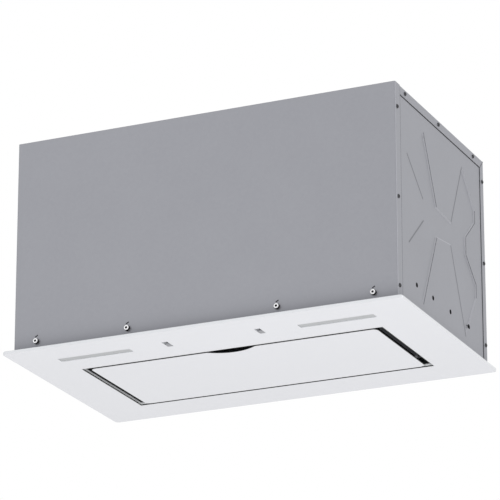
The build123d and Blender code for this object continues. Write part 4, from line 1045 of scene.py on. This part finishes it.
def makeFloor(look):
    made = bpy.data.materials.new("paleFloor")
    made.use_nodes = True
    tree = made.node_tree
    shader = tree.nodes["Principled BSDF"]
    shader.inputs["Base Color"].default_value = look["colour"]
    shader.inputs["Roughness"].default_value = look["rough"]
    out = tree.nodes["Material Output"]
    sides = addNode(tree, "ShaderNodeNewGeometry")
    clear = addNode(tree, "ShaderNodeBsdfTransparent")
    pick = addNode(tree, "ShaderNodeMixShader")
    tree.links.new(sides.outputs["Backfacing"], pick.inputs["Fac"])
    tree.links.new(shader.outputs["BSDF"], pick.inputs[1])
    tree.links.new(clear.outputs["BSDF"], pick.inputs[2])
    tree.links.new(pick.outputs["Shader"], out.inputs["Surface"])
    mesh = bpy.data.meshes.new("floor")
    half = look["half"]
    corners = [(-half, -half, 0), (half, -half, 0), (half, half, 0), (-half, half, 0)]
    mesh.from_pydata(corners, [], [(0, 1, 2, 3)])
    mesh.materials.append(made)
    plane = bpy.data.objects.new("floor", mesh)
    plane.location = (0, 0, look["height"])
    bpy.context.scene.collection.objects.link(plane)


makeFloor(floor)


# white world for the camera and reflections, and a plain even light for everything else
light = {
    "worldLevel": 0.78,
    "aim": (0, 0, 0.15),
    "lamps": [
        {"name": "frontLamp", "place": (-2.4, -4.2, 2.4), "size": 3.0, "power": 9.0},
        {"name": "sideLamp", "place": (4.4, 0.6, 1.2), "size": 2.6, "power": 32.0},
        {"name": "lowLamp", "place": (0.6, -1.6, -2.3), "size": 3.0, "power": 46.0},
    ],
}


def makeLight(look):
    world = bpy.data.worlds.new("studio")
    bpy.context.scene.world = world
    world.use_nodes = True
    tree = world.node_tree
    tree.nodes.clear()
    out = addNode(tree, "ShaderNodeOutputWorld")
    seen = addNode(tree, "ShaderNodeBackground")
    seen.inputs["Strength"].default_value = 1.0
    seen.inputs["Color"].default_value = (1, 1, 1, 1)
    lit = addNode(tree, "ShaderNodeBackground")
    lit.inputs["Strength"].default_value = look["worldLevel"]
    lit.inputs["Color"].default_value = (1, 1, 1, 1)
    path = addNode(tree, "ShaderNodeLightPath")
    direct = mathNode(tree, "MAXIMUM", path.outputs["Is Camera Ray"], path.outputs["Is Glossy Ray"])
    showsWhite = mathNode(tree, "MAXIMUM", direct, path.outputs["Is Transmission Ray"])
    pick = addNode(tree, "ShaderNodeMixShader")
    tree.links.new(showsWhite, pick.inputs["Fac"])
    tree.links.new(lit.outputs["Background"], pick.inputs[1])
    tree.links.new(seen.outputs["Background"], pick.inputs[2])
    tree.links.new(pick.outputs["Shader"], out.inputs["Surface"])
    for lamp in look["lamps"]:
        data = bpy.data.lights.new(lamp["name"], "AREA")
        data.shape = "DISK"
        data.size = lamp["size"]
        data.energy = lamp["power"]
        holder = bpy.data.objects.new(lamp["name"], data)
        bpy.context.scene.collection.objects.link(holder)
        holder.location = lamp["place"]
        aim = Vector(look["aim"]) - holder.location
        holder.rotation_mode = "QUATERNION"
        holder.rotation_quaternion = aim.to_track_quat("-Z", "Y")


makeLight(light)
print("studio light on")
